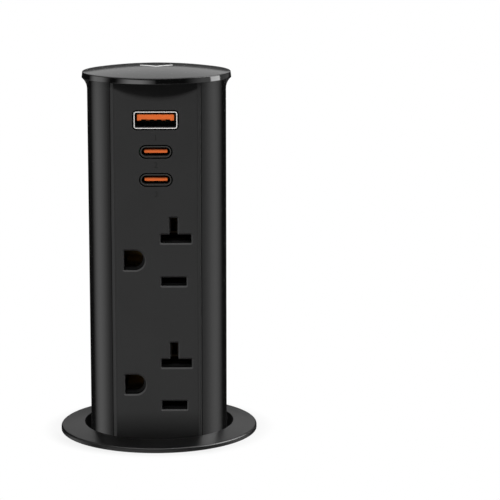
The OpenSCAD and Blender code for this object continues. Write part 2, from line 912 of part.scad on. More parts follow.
// Opening through the panel, with a chamfer at its face
module chamfered(low, high) {
    along_y(-flat_y - over, web_front + over)
        translate(low)
            square(high - low);
    chamfer_rect(low, high, slot_chamfer);
}

// Ground hole: flat on the left and round on the right
module ground_outline() {
    translate([ground_round_x, 0])
        circle(ground_h / 2);
    translate([ground_left, -ground_h / 2])
        square([ground_round_x - ground_left, ground_h]);
}

module outlet_openings(z) {
    hot_z = z - blade_gap / 2;
    tee_z = z + blade_gap / 2;
    tee_x = blade_x + tee_shift;
    chamfered([blade_x - hot_w / 2, hot_z - hot_h / 2], [blade_x + hot_w / 2, hot_z + hot_h / 2]);
    chamfered([tee_x - tee_w / 2, tee_z - tee_h / 2], [tee_x + tee_w / 2, tee_z + tee_h / 2]);
    chamfered([blade_x - stem_w / 2, tee_z], [blade_x + stem_w / 2, tee_z + stem_h]);
    translate([0, 0, z]) {
        along_y(-flat_y - over, web_front + over)
            ground_outline();
        chamfer_rect([ground_left, -ground_h / 2], [ground_round_x, ground_h / 2], 0);
        translate([ground_round_x, -flat_y + slot_chamfer, 0])
            rotate([90, 0, 0])
                cylinder(r1 = ground_h / 2, r2 = ground_h / 2 + slot_chamfer + eps, h = slot_chamfer + eps);
    }
}

module socket_panel() {
    color([0.19, 0.19, 0.19])
        difference() {
            box([-panel_w / 2 + reveal, -flat_y, shell_bottom],
                [panel_w / 2 - reveal, web_front - seat_gap, shell_top - reveal]);
            for (z = outlet_heights)
                outlet_openings(z);
            along_y(-flat_y - over, web_front + over)
                translate([0, port_a_z])
                    round_rect(port_a_w + 2 * port_gap, port_a_h + 2 * port_gap, port_corner + port_gap);
            for (z = port_heights)
                along_y(-flat_y - over, web_front + over)
                    translate([0, z])
                        round_rect(port_c_w + 2 * port_gap, port_c_h + 2 * port_gap,
                                   port_c_h / 2 + port_gap - eps);
        }
}

// Carriage: floor and cup that close the tower's foot and run in the sleeve
module carriage() {
    color([0.1, 0.1, 0.1])
        difference() {
            translate([0, 0, carriage_bottom])
                cylinder(r = carriage_r, h = carriage_top - carriage_bottom);
            translate([0, 0, shell_bottom])
                linear_extrude(carriage_top - shell_bottom + over)
                    tower_outline(seat_gap);
            translate([0, cord_y, carriage_bottom - over])
                cylinder(r = cord_r + slide_gap, h = carriage_floor + 2 * over);
            translate([0, 0, carriage_bottom - over]) {
                cylinder(r = striker_shank_r + pin_gap / 2, h = carriage_floor + 2 * over);
                at_ports(all_port_angles) {
                    cylinder(r = screw_r + pin_gap, h = carriage_floor + 2 * over);
                    cylinder(r = head_r + pin_gap, h = head_h + over + pin_gap);
                }
            }
        }
}

module carriage_screws() {
    color([0.55, 0.55, 0.57])
        at_ports(all_port_angles)
            screw_up(carriage_bottom, carriage_floor + port_depth - port_screw_short);
}

module striker() {
    color([0.7, 0.7, 0.72])
        translate([0, 0, carriage_bottom]) {
            cylinder(r = striker_shank_r, h = carriage_floor);
            translate([0, 0, -striker_neck - eps])
                cylinder(r = striker_neck_r, h = striker_neck + 2 * eps);
            translate([0, 0, -striker_neck - striker_head_h])
                cylinder(r1 = striker_head_r - striker_taper, r2 = striker_head_r, h = striker_head_h);
        }
}

// Contact block: slots at the front, a pocket behind each slot and a lane for each strip
module contact_block() {
    color([0.1, 0.1, 0.1])
        difference() {
            box([-block_w / 2, block_front, block_bottom], [block_w / 2, block_back, block_top]);
            for (z = outlet_heights) {
                hot_z = z - blade_gap / 2;
                tee_z = z + blade_gap / 2;
                tee_x = blade_x + tee_shift;
                along_y(block_front - over, block_back + over)
                    translate([0, z])
                        ground_outline();
                box([blade_x - hot_w / 2, block_front - over, hot_z - hot_h / 2],
                    [blade_x + hot_w / 2, block_back + over, hot_z + hot_h / 2]);
                box([tee_x - tee_w / 2, block_front - over, tee_z - tee_h / 2],
                    [tee_x + tee_w / 2, block_back + over, tee_z + tee_h / 2]);
                box([blade_x - stem_w / 2, block_front - over, tee_z],
                    [blade_x + stem_w / 2, block_back + over, tee_z + stem_h]);
                box([blade_x - hot_w / 2 - pocket_room, pocket_front, hot_z - blade_pocket],
                    [hot_lane + strip_w + strip_gap, block_back + over, hot_z + blade_pocket]);
                box([neutral_lane - strip_gap, pocket_front, tee_z - blade_pocket],
                    [tee_x + tee_w / 2 + pocket_room, block_back + over, tee_z + stem_h + pocket_room]);
                box([ground_lane - strip_gap, pocket_front, z - ground_pocket],
                    [ground_left + ground_w + pocket_room, block_back + over, z + ground_pocket]);
            }
            for (x = strip_lanes)
                box([x - strip_gap, strip_front - strip_gap, block_bottom - over],
                    [x + strip_w + strip_gap, block_back + over, block_top + over]);
            for (x = block_screw_x)
                rod_y(x, block_screw_z, screw_r + pin_gap, block_front - over, block_back + over);
        }
}

module contact_cover() {
    color([0.12, 0.12, 0.12])
        difference() {
            box([-block_w / 2, block_back, block_bottom], [block_w / 2, block_back + cover_t, block_top]);
            for (x = block_screw_x)
                rod_y(x, block_screw_z, screw_r + pin_gap, block_back - over, block_back + cover_t + over);
        }
}

module block_screws() {
    color([0.55, 0.55, 0.57])
        for (x = block_screw_x)
            screw_forward(x, block_screw_z, block_back + cover_t, block_back + cover_t - web_front);
}

// Strip along a lane, from the terminal block up to a height
module strip(lane, top) {
    box([lane, strip_front, strip_bottom], [lane + strip_w, strip_back, top]);
}

// Tab that bends forward from the top of a strip to the charger board
module board_tab(lane) {
    box([lane, board_back + seat_gap, tab_z], [lane + strip_w, strip_back, tab_z + strip_t]);
}

// Pair of level leaves above and below a blade or pin
module leaf_pair(x_low, x_high, z, gap) {
    for (low = [z - gap / 2 - leaf_t, z + gap / 2])
        box([x_low, leaf_front, low], [x_high, strip_back, low + leaf_t]);
}

module hot_bus() {
    color([0.78, 0.62, 0.3]) {
        strip(hot_lane, tab_z + strip_t);
        board_tab(hot_lane);
        for (z = outlet_heights) {
            hot_z = z - blade_gap / 2;
            leaf_pair(blade_x - blade_leaf_w / 2, blade_x + blade_leaf_w / 2, hot_z, blade_leaf_gap);
            box([blade_x - leaf_tie, strip_front, hot_z - blade_reach],
                [hot_lane + strip_w, strip_back, hot_z + blade_reach]);
        }
    }
}

module neutral_bus() {
    color([0.75, 0.72, 0.66]) {
        strip(neutral_lane, tab_z + strip_t);
        board_tab(neutral_lane);
        for (z = outlet_heights) {
            tee_z = z + blade_gap / 2;
            leaf_pair(blade_x - blade_leaf_w / 2, blade_x + blade_leaf_w / 2, tee_z, blade_leaf_gap);
            for (x = [blade_x - blade_leaf_gap / 2 - leaf_t, blade_x + blade_leaf_gap / 2])
                box([x, leaf_front, tee_z + blade_reach - eps], [x + leaf_t, strip_back, tee_z + stem_h]);
            box([neutral_lane, strip_front, tee_z - blade_reach],
                [blade_x + leaf_tie, strip_back, tee_z + stem_h]);
        }
    }
}

module ground_bus() {
    color([0.72, 0.6, 0.35]) {
        strip(ground_lane, block_top - ground_short);
        for (z = outlet_heights) {
            leaf_pair(ground_x - ground_leaf_w / 2, ground_x + ground_leaf_w / 2, z, ground_leaf_gap);
            box([ground_lane, strip_front, z - ground_reach],
                [ground_x + ground_leaf_w / 2, strip_back, z + ground_reach]);
        }
    }
}

// Terminal block on the carriage: a slot for each strip and a screw that clamps it
module terminal_block() {
    color([0.12, 0.12, 0.12])
        difference() {
            box([-terminal_w / 2, terminal_front, shell_bottom],
                [terminal_w / 2, strip_back + terminal_back_wall, shell_bottom + terminal_h]);
            for (x = strip_lanes) {
                box([x - pin_gap, strip_front - pin_gap, strip_bottom - pin_gap],
                    [x + strip_w + pin_gap, strip_back + pin_gap, shell_bottom + terminal_h + over]);
                rod_y(x + strip_w / 2, terminal_screw_z, screw_r + pin_gap,
                      terminal_front - over, strip_front);
            }
        }
}

module terminal_screws() {
    color([0.7, 0.6, 0.35])
        for (x = strip_lanes) {
            rod_y(x + strip_w / 2, terminal_screw_z, screw_r,
                  terminal_front - head_h / 2, strip_front - pin_gap);
            rod_y(x + strip_w / 2, terminal_screw_z, head_r, terminal_front - head_h, terminal_front);
        }
}

module charger_board() {
    color([0.1, 0.35, 0.2])
        difference() {
            box([-board_w / 2, board_front, board_bottom], [board_w / 2, board_back, board_top]);
            for (x = [-1, 1], z = post_heights)
                rod_y(x * post_x, z, screw_r + pin_gap, board_front - over, board_back + over);
        }
}

module board_screws() {
    color([0.55, 0.55, 0.57])
        for (x = [-1, 1], z = post_heights)
            screw_forward(x * post_x, z, board_back, board_t + board_screw_bite);
}

// Metal shell of a port: an open tube with round corners
module port_shell(w, h, corner, z) {
    along_y(port_front, board_front)
        translate([0, z])
            difference() {
                round_rect(w, h, corner);
                round_rect(w - 2 * port_wall, h - 2 * port_wall, corner - port_wall);
            }
}

module usb_a_shell() {
    color([0.75, 0.75, 0.76])
        port_shell(port_a_w, port_a_h, port_corner, port_a_z);
}

module usb_a_tongue() {
    z = port_a_z + tongue_a_lift;
    color([0.85, 0.4, 0.14])
        box([-tongue_a_w / 2, port_front + tongue_a_depth, z - tongue_a_h / 2],
            [tongue_a_w / 2, board_front, z + tongue_a_h / 2]);
}

module usb_a_contacts() {
    z = port_a_z + tongue_a_lift - tongue_a_h / 2;
    color([0.8, 0.65, 0.3])
        for (x = contact_xs)
            box([x - contact_w / 2, port_front + tongue_a_depth + contact_set_back, z - contact_t],
                [x + contact_w / 2, board_front, z]);
}

module port_c_tongue(z) {
    color([0.75, 0.4, 0.25])
        box([-tongue_c_w / 2, port_front + tongue_c_depth, z + tongue_c_lift - tongue_c_h / 2],
            [tongue_c_w / 2, board_front, z + tongue_c_lift + tongue_c_h / 2]);
}

module usb_c_upper_shell() {
    color([0.3, 0.3, 0.31])
        port_shell(port_c_w, port_c_h, port_c_h / 2 - eps, port_c_upper_z);
}

module usb_c_upper_tongue() {
    port_c_tongue(port_c_upper_z);
}

module usb_c_lower_shell() {
    color([0.3, 0.3, 0.31])
        port_shell(port_c_w, port_c_h, port_c_h / 2 - eps, port_c_lower_z);
}

module usb_c_lower_tongue() {
    port_c_tongue(port_c_lower_z);
}

module transformer() {
    color([0.85, 0.8, 0.4])
        box([-transformer_w / 2, board_back, transformer_z - transformer_h / 2],
            [transformer_w / 2, board_back + transformer_depth, transformer_z + transformer_h / 2]);
}

module capacitors() {
    color([0.15, 0.15, 0.3])
        for (x = [-1, 1])
            rod_y(x * capacitor_x, port_c_lower_z + capacitor_lift, capacitor_r,
                  board_back, board_back + capacitor_len);
}

collar_sleeve();
flange_gasket();
stop_bumper();
clamp_washer();
clamp_nut();
bottom_cap();
bottom_cap_screws();
cord_grommet();
lift_spring();
latch_body();
latch_screws();
latch_pins();
jaw_springs();
latch_jaw_left();
latch_jaw_right();
lid();
lid_screws();
top_bridge();
front_shell();
rear_shell();
socket_panel();
carriage();
carriage_screws();
striker();
contact_block();
contact_cover();
block_screws();
hot_bus();
neutral_bus();
ground_bus();
terminal_block();
terminal_screws();
charger_board();
board_screws();
usb_a_shell();
usb_a_tongue();
usb_a_contacts();
usb_c_upper_shell();
usb_c_upper_tongue();
usb_c_lower_shell();
usb_c_lower_tongue();
transformer();
capacitors();
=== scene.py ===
# %% [markdown]
# # Pop up desk socket
# A small power tower rises out of a collar in a desk. The solids of all its parts come in as a fixed frame.
# This lesson dresses them: the rounded, threaded and wound pieces are worked out again as smooth surfaces,
# every part gets a finish, and the whole stands on a sample of desk under soft light.

# %% The frame
import json
from math import acos, asin, cos, pi, radians, sin

import bmesh
import bpy
import numpy as np
from mathutils import Matrix, Vector


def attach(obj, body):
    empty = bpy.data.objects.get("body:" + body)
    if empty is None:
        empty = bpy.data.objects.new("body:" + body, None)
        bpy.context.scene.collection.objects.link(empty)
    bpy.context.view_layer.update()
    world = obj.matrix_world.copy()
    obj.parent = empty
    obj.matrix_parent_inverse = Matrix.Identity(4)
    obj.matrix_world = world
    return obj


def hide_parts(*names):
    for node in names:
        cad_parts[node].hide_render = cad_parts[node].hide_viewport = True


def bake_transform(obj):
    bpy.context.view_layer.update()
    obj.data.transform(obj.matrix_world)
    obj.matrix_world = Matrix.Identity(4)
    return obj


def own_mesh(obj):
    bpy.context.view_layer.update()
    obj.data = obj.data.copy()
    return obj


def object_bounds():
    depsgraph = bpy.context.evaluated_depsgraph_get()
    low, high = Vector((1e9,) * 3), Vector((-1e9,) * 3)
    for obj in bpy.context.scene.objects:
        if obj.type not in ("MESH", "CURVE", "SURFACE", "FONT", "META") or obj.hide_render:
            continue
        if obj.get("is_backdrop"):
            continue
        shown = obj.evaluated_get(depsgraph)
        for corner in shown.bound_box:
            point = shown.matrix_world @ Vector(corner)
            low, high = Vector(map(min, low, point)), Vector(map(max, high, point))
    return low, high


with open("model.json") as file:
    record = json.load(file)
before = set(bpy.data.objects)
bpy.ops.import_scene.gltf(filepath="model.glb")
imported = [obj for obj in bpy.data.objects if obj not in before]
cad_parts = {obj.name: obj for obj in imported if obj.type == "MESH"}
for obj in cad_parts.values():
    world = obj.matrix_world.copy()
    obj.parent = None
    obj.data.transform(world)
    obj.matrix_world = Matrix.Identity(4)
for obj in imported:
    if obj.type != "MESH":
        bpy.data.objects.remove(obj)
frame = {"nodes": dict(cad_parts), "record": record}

cad_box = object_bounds()
scene = bpy.context.scene
MM = 0.001
print(len(frame["nodes"]), "solids between", [round(v / MM, 1) for corner in cad_box for v in corner], "mm")

# %% [markdown]
# ## The camera
# The photograph was taken with a long lens from a little above. A camera could be placed by eye, but here
# its place was worked out from points of known size on the object, so the render and the photograph line
# up. A camera looks along its own -Z, so its matrix holds the three directions right, up and backwards as
# columns.

# %% The camera
FRAME_PX, LENS_PX, SENSOR = 500, 2182.77, 36.0
EYE = Vector((15.84, -640.73, 174.90)) * MM
YAW, PITCH = 0.0182, 0.186
NEAREST = 0.01


def placed(name, data):
    """New object that shows this data, linked into the scene."""
    obj = bpy.data.objects.new(name, data)
    scene.collection.objects.link(obj)
    return obj


lens = bpy.data.cameras.new("camera")
lens.sensor_width = SENSOR
lens.lens = LENS_PX / FRAME_PX * SENSOR
lens.clip_start = NEAREST
camera = placed("camera", lens)
ahead = Vector((sin(YAW) * cos(PITCH), cos(YAW) * cos(PITCH), -sin(PITCH)))
right = Vector((cos(YAW), -sin(YAW), 0))
turn = Matrix((right, right.cross(ahead), -ahead)).transposed().to_4x4()
camera.matrix_world = Matrix.Translation(EYE) @ turn
scene.camera = camera
print("lens", round(lens.lens, 1), "mm")

# %% [markdown]
# ## From numbers to a mesh
# Every new piece is a grid of points: rows along a profile, columns along a path. A quad joins each point
# to its neighbours. Where a grid runs round, its last column joins its first one, and where a row shrinks
# to one point, as on the top of a dome, merging doubles closes the pole. Lengths are in millimetres until
# the mesh is made.

# %% Grids
SAME_POINT = 1e-7


def quads(rows, cols, close_rows=False, close_cols=True):
    """Corner numbers of the quads of a grid: each point with its neighbours in the next row and column."""
    i = np.arange(rows if close_rows else rows - 1)[:, None]
    j = np.arange(cols if close_cols else cols - 1)[None, :]
    below, beside = (i + 1) % rows, (j + 1) % cols
    corners = np.broadcast_arrays(i * cols + j, i * cols + beside, below * cols + beside, below * cols + j)
    return np.stack(corners, -1).reshape(-1, 4)


def stacked(parts):
    """Points and faces of several grids in one list each: a grid's numbers follow those before it."""
    sizes = [len(points.reshape(-1, 3)) for points, *_ in parts]
    starts = np.cumsum([0] + sizes)
    points = np.concatenate([points.reshape(-1, 3) for points, *_ in parts]) * MM
    faces = [face for (_, *sheets), start in zip(parts, starts)
             for sheet in sheets for face in (sheet + start).tolist()]
    return points, faces


def shell_mesh(name, parts):
    """Mesh of closed grids, with doubles merged and all faces turned outwards."""
    points, faces = stacked(parts)
    mesh = bpy.data.meshes.new(name)
    mesh.from_pydata(points.tolist(), [], faces)
    work = bmesh.new()
    work.from_mesh(mesh)
    bmesh.ops.remove_doubles(work, verts=work.verts, dist=SAME_POINT)
    bmesh.ops.recalc_face_normals(work, faces=work.faces)
    work.to_mesh(mesh)
    work.free()
    return mesh


print("grid of 3 by 4 that runs round:", len(quads(3, 4)), "quads")

# %% [markdown]
# A boolean step joins posts to a piece or cuts windows out of it. The piece is then shaded smooth apart
# from its sharp edges, takes its material and rides on its body.

# %% Pieces
def carved(obj, parts, operation):
    """Joins closed grids to an object, or cuts them out of it, and keeps the result as its mesh."""
    tool = placed("tool", shell_mesh("tool", parts))
    step = obj.modifiers.new("carve", "BOOLEAN")
    step.operation, step.solver, step.object = operation, "MANIFOLD", tool
    ready = obj.evaluated_get(bpy.context.evaluated_depsgraph_get())
    mesh = bpy.data.meshes.new_from_object(ready)
    obj.modifiers.clear()
    obj.data = mesh
    bpy.data.objects.remove(tool)


def dressed(obj, material, sharp):
    """Shades an object smooth apart from edges sharper than an angle, and gives it one material."""
    obj.data.shade_smooth()
    obj.data.set_sharp_from_angle(angle=radians(sharp))
    obj.data.materials.clear()
    obj.data.materials.append(material)


def piece(name, parts, body, slot, *nodes, ink=None, joins=(), cuts=(), sharp=32):
    """A finished piece: its mesh, joined and cut, dressed and riding on its body. Its material has its
    slot's name, unless the piece is printed in an ink."""
    obj = placed(name, shell_mesh(name, parts))
    if joins:
        carved(obj, joins, "UNION")
    for group in cuts:
        carved(obj, group, "DIFFERENCE")
    obj.data.name = name
    dressed(obj, bpy.data.materials[ink or slot], sharp)
    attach(obj, body)
    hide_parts(*nodes)
    print(name, len(obj.data.polygons), "faces")
    return obj


print("helpers:", shell_mesh.__name__, carved.__name__, piece.__name__)

# %% [markdown]
# ## Outlines
# Real mouldings have no knife edges: each corner is a small arc. An outline starts as corner points with a
# radius each, and `eased` puts the arcs in.

# %% Outlines
SHORTEST_EDGE = 1e-5


def eased(corners, radii, steps=5):
    """Closed outline with an arc at each corner: the arc's centre lies on the corner's bisector, and its
    points turn evenly from one edge to the next. A corner of radius 0 stays one point."""
    corners = np.asarray(corners, float)
    radii = np.broadcast_to(np.asarray(radii, float), len(corners))[:, None]
    before, after = np.roll(corners, 1, 0) - corners, np.roll(corners, -1, 0) - corners
    before /= np.linalg.norm(before, axis=1, keepdims=True)
    after /= np.linalg.norm(after, axis=1, keepdims=True)
    half = np.arccos(np.clip((before * after).sum(1, keepdims=True), -1, 1)) / 2
    middle = before + after
    middle /= np.maximum(np.linalg.norm(middle, axis=1, keepdims=True), 1e-9)
    centre = corners + middle * radii / np.sin(half)
    start = corners + before * radii / np.tan(half) - centre
    end = corners + after * radii / np.tan(half) - centre
    sweep = np.maximum(pi - 2 * half, 1e-6)
    share = np.linspace(0, 1, steps + 1)[None, :]
    fade_out = (np.sin((1 - share) * sweep) / np.sin(sweep))[..., None]
    fade_in = (np.sin(share * sweep) / np.sin(sweep))[..., None]
    loop = (centre[:, None] + fade_out * start[:, None] + fade_in * end[:, None]).reshape(-1, 2)
    return loop[np.linalg.norm(loop - np.roll(loop, 1, 0), axis=1) > SHORTEST_EDGE]


def rectangle(low, high, radius, steps=5):
    """Rectangle between two corners, anticlockwise, with rounded corners."""
    (x0, y0), (x1, y1) = low, high
    return eased([(x0, y0), (x1, y0), (x1, y1), (x0, y1)], radius, steps)


def outward(outline):
    """Unit normals of an anticlockwise outline: the chord between neighbours, turned to the right."""
    chord = np.roll(outline, -1, 0) - np.roll(outline, 1, 0)
    normal = np.stack([chord[:, 1], -chord[:, 0]], -1)
    return normal / np.linalg.norm(normal, axis=1, keepdims=True)


def begun_at(outline, point):
    """The same closed outline, begun at its point nearest to a given one."""
    return np.roll(outline, -int(np.argmin(np.abs(outline - point).sum(1))), 0)


print("a square with round corners has", len(rectangle((0, 0), (4, 4), 1)), "points")

# %% [markdown]
# ## Carriers
# Three carriers make nearly all pieces: `turned` takes a profile round an upright axis, `prism` takes an
# outline along a straight line, and `tube` takes a small profile round an outline.

# %% Carriers
def turned(radius, height, angles, centre=(0, 0)):
    """Polar surface: at angle a from the front, a point is radius * (sin a, -cos a) off the axis."""
    radius, height, angles = np.broadcast_arrays(radius, height, angles)
    return np.stack([centre[0] + radius * np.sin(angles), centre[1] - radius * np.cos(angles), height], -1)


def turned_ring(profile, count=160, centre=(0, 0)):
    """Closed profile of radius and height, carried once round an upright axis."""
    angles = np.linspace(0, 2 * pi, count, endpoint=False)
    points = turned(profile[:, :1], profile[:, 1:], angles[None], centre)
    return points, quads(len(profile), count, close_rows=True)


def upright(u, v, t):
    """An outline that lies flat, carried up: its two numbers are X and Y, the way along is Z."""
    return np.stack([u, v, t], -1)


def frontwards(u, v, t):
    """An outline that faces the front, carried back: its two numbers are X and Z, the way along is Y."""
    return np.stack([u, t, v], -1)


def round_ends(low, high, radius, steps=4):
    """Levels of a bar with rounded ends: each is a place along the bar and how far the outline is drawn in.
    One more level near each end keeps the shading of the long sides straight."""
    arc = np.linspace(0, pi / 2, steps + 1)
    end = np.stack([radius * (1 - np.sin(arc)), radius * (1 - np.cos(arc))], -1)
    end = np.concatenate([[(2 * radius, 0)], end])
    return np.concatenate([end[::-1] + [low, 0], end * [-1, 1] + [high, 0]])


def prism(outline, levels, lay):
    """Outline carried along a line: each level has it drawn in along its normals, both ends are closed."""
    levels = np.asarray(levels, float)
    ring = outline[None] - outward(outline)[None] * levels[:, 1, None, None]
    rows, cols = ring.shape[:2]
    points = lay(ring[..., 0], ring[..., 1], np.broadcast_to(levels[:, :1], (rows, cols)))
    last = (rows - 1) * cols
    return points, quads(rows, cols), np.arange(cols)[None], np.arange(last, last + cols)[None]


def tube(outline, profile):
    """Small closed profile carried round an outline: its first number is the step out from the outline, its
    second the depth along Y."""
    step = outline[None] + outward(outline)[None] * profile[:, :1, None]
    points = frontwards(step[..., 0], step[..., 1], np.broadcast_to(profile[:, 1:], step.shape[:2]))
    return points, quads(len(profile), len(outline), close_rows=True)


def rod(x, y, z, radius, lay, low, high, count=40):
    """Plain round bar: a circle about a point, carried from low to high."""
    a = np.linspace(0, 2 * pi, count, endpoint=False)
    centre = (x, y) if lay is upright else (x, z)
    outline = np.stack([centre[0] + radius * np.cos(a), centre[1] + radius * np.sin(a)], -1)
    return prism(outline, [(low, 0), (high, 0)], lay)


print("carriers:", turned.__name__, prism.__name__, tube.__name__)

# %% [markdown]
# ## Shader arithmetic
# A finish is a small formula over the surface: a bit of noise times a strength, a mask for an edge. Wiring
# Math nodes by hand hides the formula, so a small class wraps a socket and turns Python's operators into
# nodes.

# %% A socket that can be calculated with
class Tone:
    """One value of a shader. Operators on it add Math nodes; node() adds any other node."""

    def __init__(self, tree, socket=None):
        self.tree, self.socket = tree, socket

    def node(self, kind, settings=None, inputs=None, out=0):
        """Adds a node, sets it up, links its inputs or gives them values, and wraps one of its outputs."""
        made = self.tree.nodes.new(kind)
        for key, value in (settings or {}).items():
            setattr(made, key, value)
        for key, value in (inputs or {}).items():
            if isinstance(value, Tone):
                self.tree.links.new(value.socket, made.inputs[key])
            else:
                made.inputs[key].default_value = value
        return Tone(self.tree, made.outputs[out])

    def math(self, operation, first, second=0.0):
        """The Math node of one operation. Each operator below adds the one of the same meaning."""
        return self.node("ShaderNodeMath", {"operation": operation}, {0: first, 1: second})

    def __add__(self, other):
        return self.math("ADD", self, other)

    def __sub__(self, other):
        return self.math("SUBTRACT", self, other)

    def __rsub__(self, other):
        return self.math("SUBTRACT", other, self)

    def __mul__(self, other):
        return self.math("MULTIPLY", self, other)

    def __truediv__(self, other):
        return self.math("DIVIDE", self, other)

    def __abs__(self):
        return self.math("ABSOLUTE", self)

    __radd__, __rmul__ = __add__, __mul__

    def ramp(self, low, high):
        """0 below low, 1 above high, and an even S between them."""
        return self.node("ShaderNodeMapRange", {"interpolation_type": "SMOOTHSTEP"},
                         {0: self, 1: low, 2: high, 3: 0.0, 4: 1.0})

    def mix(self, first, second):
        """Colour between two colours by this value."""
        return self.node("ShaderNodeMix", {"data_type": "RGBA"}, {0: self, 6: first, 7: second}, 2)

    def stretched(self, scale):
        """This place with scaled axes. Noise over it is drawn out along the axis of the smallest scale."""
        return self.node("ShaderNodeMapping", {}, {"Vector": self, "Scale": scale})

    def noise(self, scale, detail=2.0):
        """Smooth random value at this place: the scale is in bumps per metre, detail adds finer layers."""
        return self.node("ShaderNodeTexNoise", {}, {"Vector": self, "Scale": scale, "Detail": detail})

    def axes(self):
        """X, Y and Z of this place, a value each."""
        parts = self.node("ShaderNodeSeparateXYZ", {}, {0: self}).socket.node
        return [Tone(self.tree, socket) for socket in parts.outputs]

    def bump(self, depth):
        """Normal that follows this height, whose full range stands for a depth in metres."""
        return self.node("ShaderNodeBump", {}, {"Strength": 1.0, "Distance": depth, "Height": self})


print("operators:", [name for name in vars(Tone) if name.startswith("__") and name != "__init__"])

# %% Recipes become materials
def grey(level):
    """Opaque colour with the same level of red, green and blue."""
    return (level, level, level, 1.0)


def finish(name, recipe, **fixed):
    """Material from a recipe: it takes the place on the surface and gives the inputs that vary over it.
    Inputs that are the same all over are set on the shader itself."""
    material = bpy.data.materials.new(name)
    material.use_nodes = True
    tree = material.node_tree
    shader = tree.nodes["Principled BSDF"]
    for key, value in fixed.items():
        shader.inputs[key.replace("_", " ")].default_value = value
    place = Tone(tree).node("ShaderNodeTexCoord", out="Object")
    for key, value in recipe(place).items():
        tree.links.new(value.socket, shader.inputs[key])
    return material


def seen_directly(tree):
    """1 for rays from the camera, a mirror or glass, 0 for those that gather light: a sum, at most 1."""
    path = Tone(tree).node("ShaderNodeLightPath").socket.node.outputs
    kinds = [Tone(tree, path[name]) for name in ("Is Camera Ray", "Is Glossy Ray", "Is Transmission Ray")]
    return kinds[0].math("MINIMUM", kinds[0] + kinds[1] + kinds[2], 1.0)


print("shader helpers:", grey.__name__, finish.__name__, seen_directly.__name__)

# %% [markdown]
# ## Moulded black plastic
# All the outside is black plastic, yet no two parts look the same: the panel is flat and dull, the shells
# are satin, and the lid's rim shines. The tool that moulded them leaves a fine grain, and the melt leaves
# broad, very faint clouds in the gloss. Both are noise at their real size: grain of a few tenths of a
# millimetre and clouds of a centimetre or so. The solids arrive with plain stand-in colours, which go
# first, so that each name is free for a real finish.

# %% Plastics
for plain in list(bpy.data.materials):
    bpy.data.materials.remove(plain)
CLOUDS, FINE_CLOUDS, LAYERS = 70.0, 60.0, 3.0


def moulded(dark, light, rough, grain=2500.0, depth=2e-6):
    """Recipe for moulded plastic: clouds mix two tones and sway the roughness, grain bumps the surface."""
    def recipe(place):
        cloud = place.noise(CLOUDS, LAYERS)
        return {"Base Color": cloud.mix(grey(dark), grey(light)),
                "Roughness": rough + (cloud - 0.5) * 0.05,
                "Normal": place.noise(grain).bump(depth)}
    return recipe


def lid_recipe(place):
    """The lid's top is satin; from its edge down to the lower edge, the rim is polished and lacquered."""
    height = place.axes()[2]
    top = height.ramp(107.74 * MM, 107.88 * MM)
    cloud = place.noise(FINE_CLOUDS, LAYERS)
    return {"Base Color": top.mix(grey(0.002), cloud.mix(grey(0.008), grey(0.012))),
            "Roughness": 0.08 + top * 0.04 + (cloud - 0.5) * 0.03,
            "Coat Weight": (1 - top) * height.ramp(106.40 * MM, 106.52 * MM),
            "Normal": (place.noise(3000.0) * top).bump(5e-7)}


def shell_recipe(place):
    """Satin shells. The strip beside the panel has the panel's duller tone."""
    across, depth, _ = place.axes()
    strip = (1 - abs(across).ramp(12.95 * MM, 13.15 * MM)) * (1 - depth.ramp(-15.2 * MM, -15.0 * MM))
    cloud = place.noise(FINE_CLOUDS, LAYERS)
    return {"Base Color": strip.mix(cloud.mix(grey(0.003), grey(0.005)), grey(0.011)),
            "Roughness": 0.14 + strip * 0.28 + (cloud - 0.5) * 0.03,
            "Normal": place.noise(2600.0).bump(1.5e-6)}


def panel_recipe(place):
    """Dull face with a fine grain, and a painted highlight on the bevels just behind it. Deeper in, the
    openings' walls are painted black as shade. The outlets, which lie below the ports, have the deeper
    bevels, so their painted shade starts deeper."""
    _, depth, height = place.axes()
    bevel = 0.33 * MM * (1 - height.ramp(72 * MM, 74 * MM))
    # Painted shade: behind the face and its bevels, the walls of the openings are made near black.
    face = 1 - (depth - bevel).ramp(-15.95 * MM, -15.88 * MM)
    # Painted highlight: the bevels just behind the face get a lighter grey, as if lit from above.
    painted_bevel_highlight = depth.ramp(-16.06 * MM, -16.00 * MM)
    cloud = place.noise(CLOUDS, LAYERS)
    outside = painted_bevel_highlight.mix(cloud.mix(grey(0.021), grey(0.025)), grey(0.042))
    return {"Base Color": face.mix(grey(0.0008), outside),
            "Roughness": 0.50 + (1 - face) * 0.4 + (cloud - 0.5) * 0.05,
            "Normal": place.noise(2500.0).bump(3e-6)}


finish("collar_black", moulded(0.001, 0.002, 0.32))
finish("lid_black", lid_recipe, Coat_IOR=2.0, Coat_Roughness=0.06)
finish("shell_black", shell_recipe)
finish("panel_black", panel_recipe, Specular_IOR_Level=0.12)
finish("nut_black", moulded(0.012, 0.018, 0.45, depth=5e-6))
rubber = moulded(0.010, 0.016, 0.75, grain=1500.0, depth=8e-6)
finish("rubber_black", rubber, Specular_IOR_Level=0.3)
finish("latch_plastic", moulded(0.56, 0.62, 0.42))
finish("insulator", moulded(0.002, 0.004, 0.6))
print("plastics:", [m.name for m in bpy.data.materials])

# %% [markdown]
# ## Metals
# Drawn wire and rolled strip have fine lines along the way they were worked, and plating dulls in clouds.
# The ports' sheet is bright only at its front edge and the contacts only further back: the dark inside
# the ports and at the contacts' front is painted shade.

# %% Metals
def plated(colour, rough, lines=(1.0, 1.0, 1.0), scale=900.0):
    """Recipe for worked metal: noise stretched along the lines sways its tone and roughness."""
    dull = tuple(0.82 * c for c in colour) + (1.0,)

    def recipe(place):
        streak = place.stretched(lines).noise(scale, LAYERS)
        return {"Base Color": streak.mix(dull, colour + (1.0,)),
                "Roughness": rough + (streak - 0.5) * 0.12,
                "Normal": streak.bump(1e-6)}
    return recipe


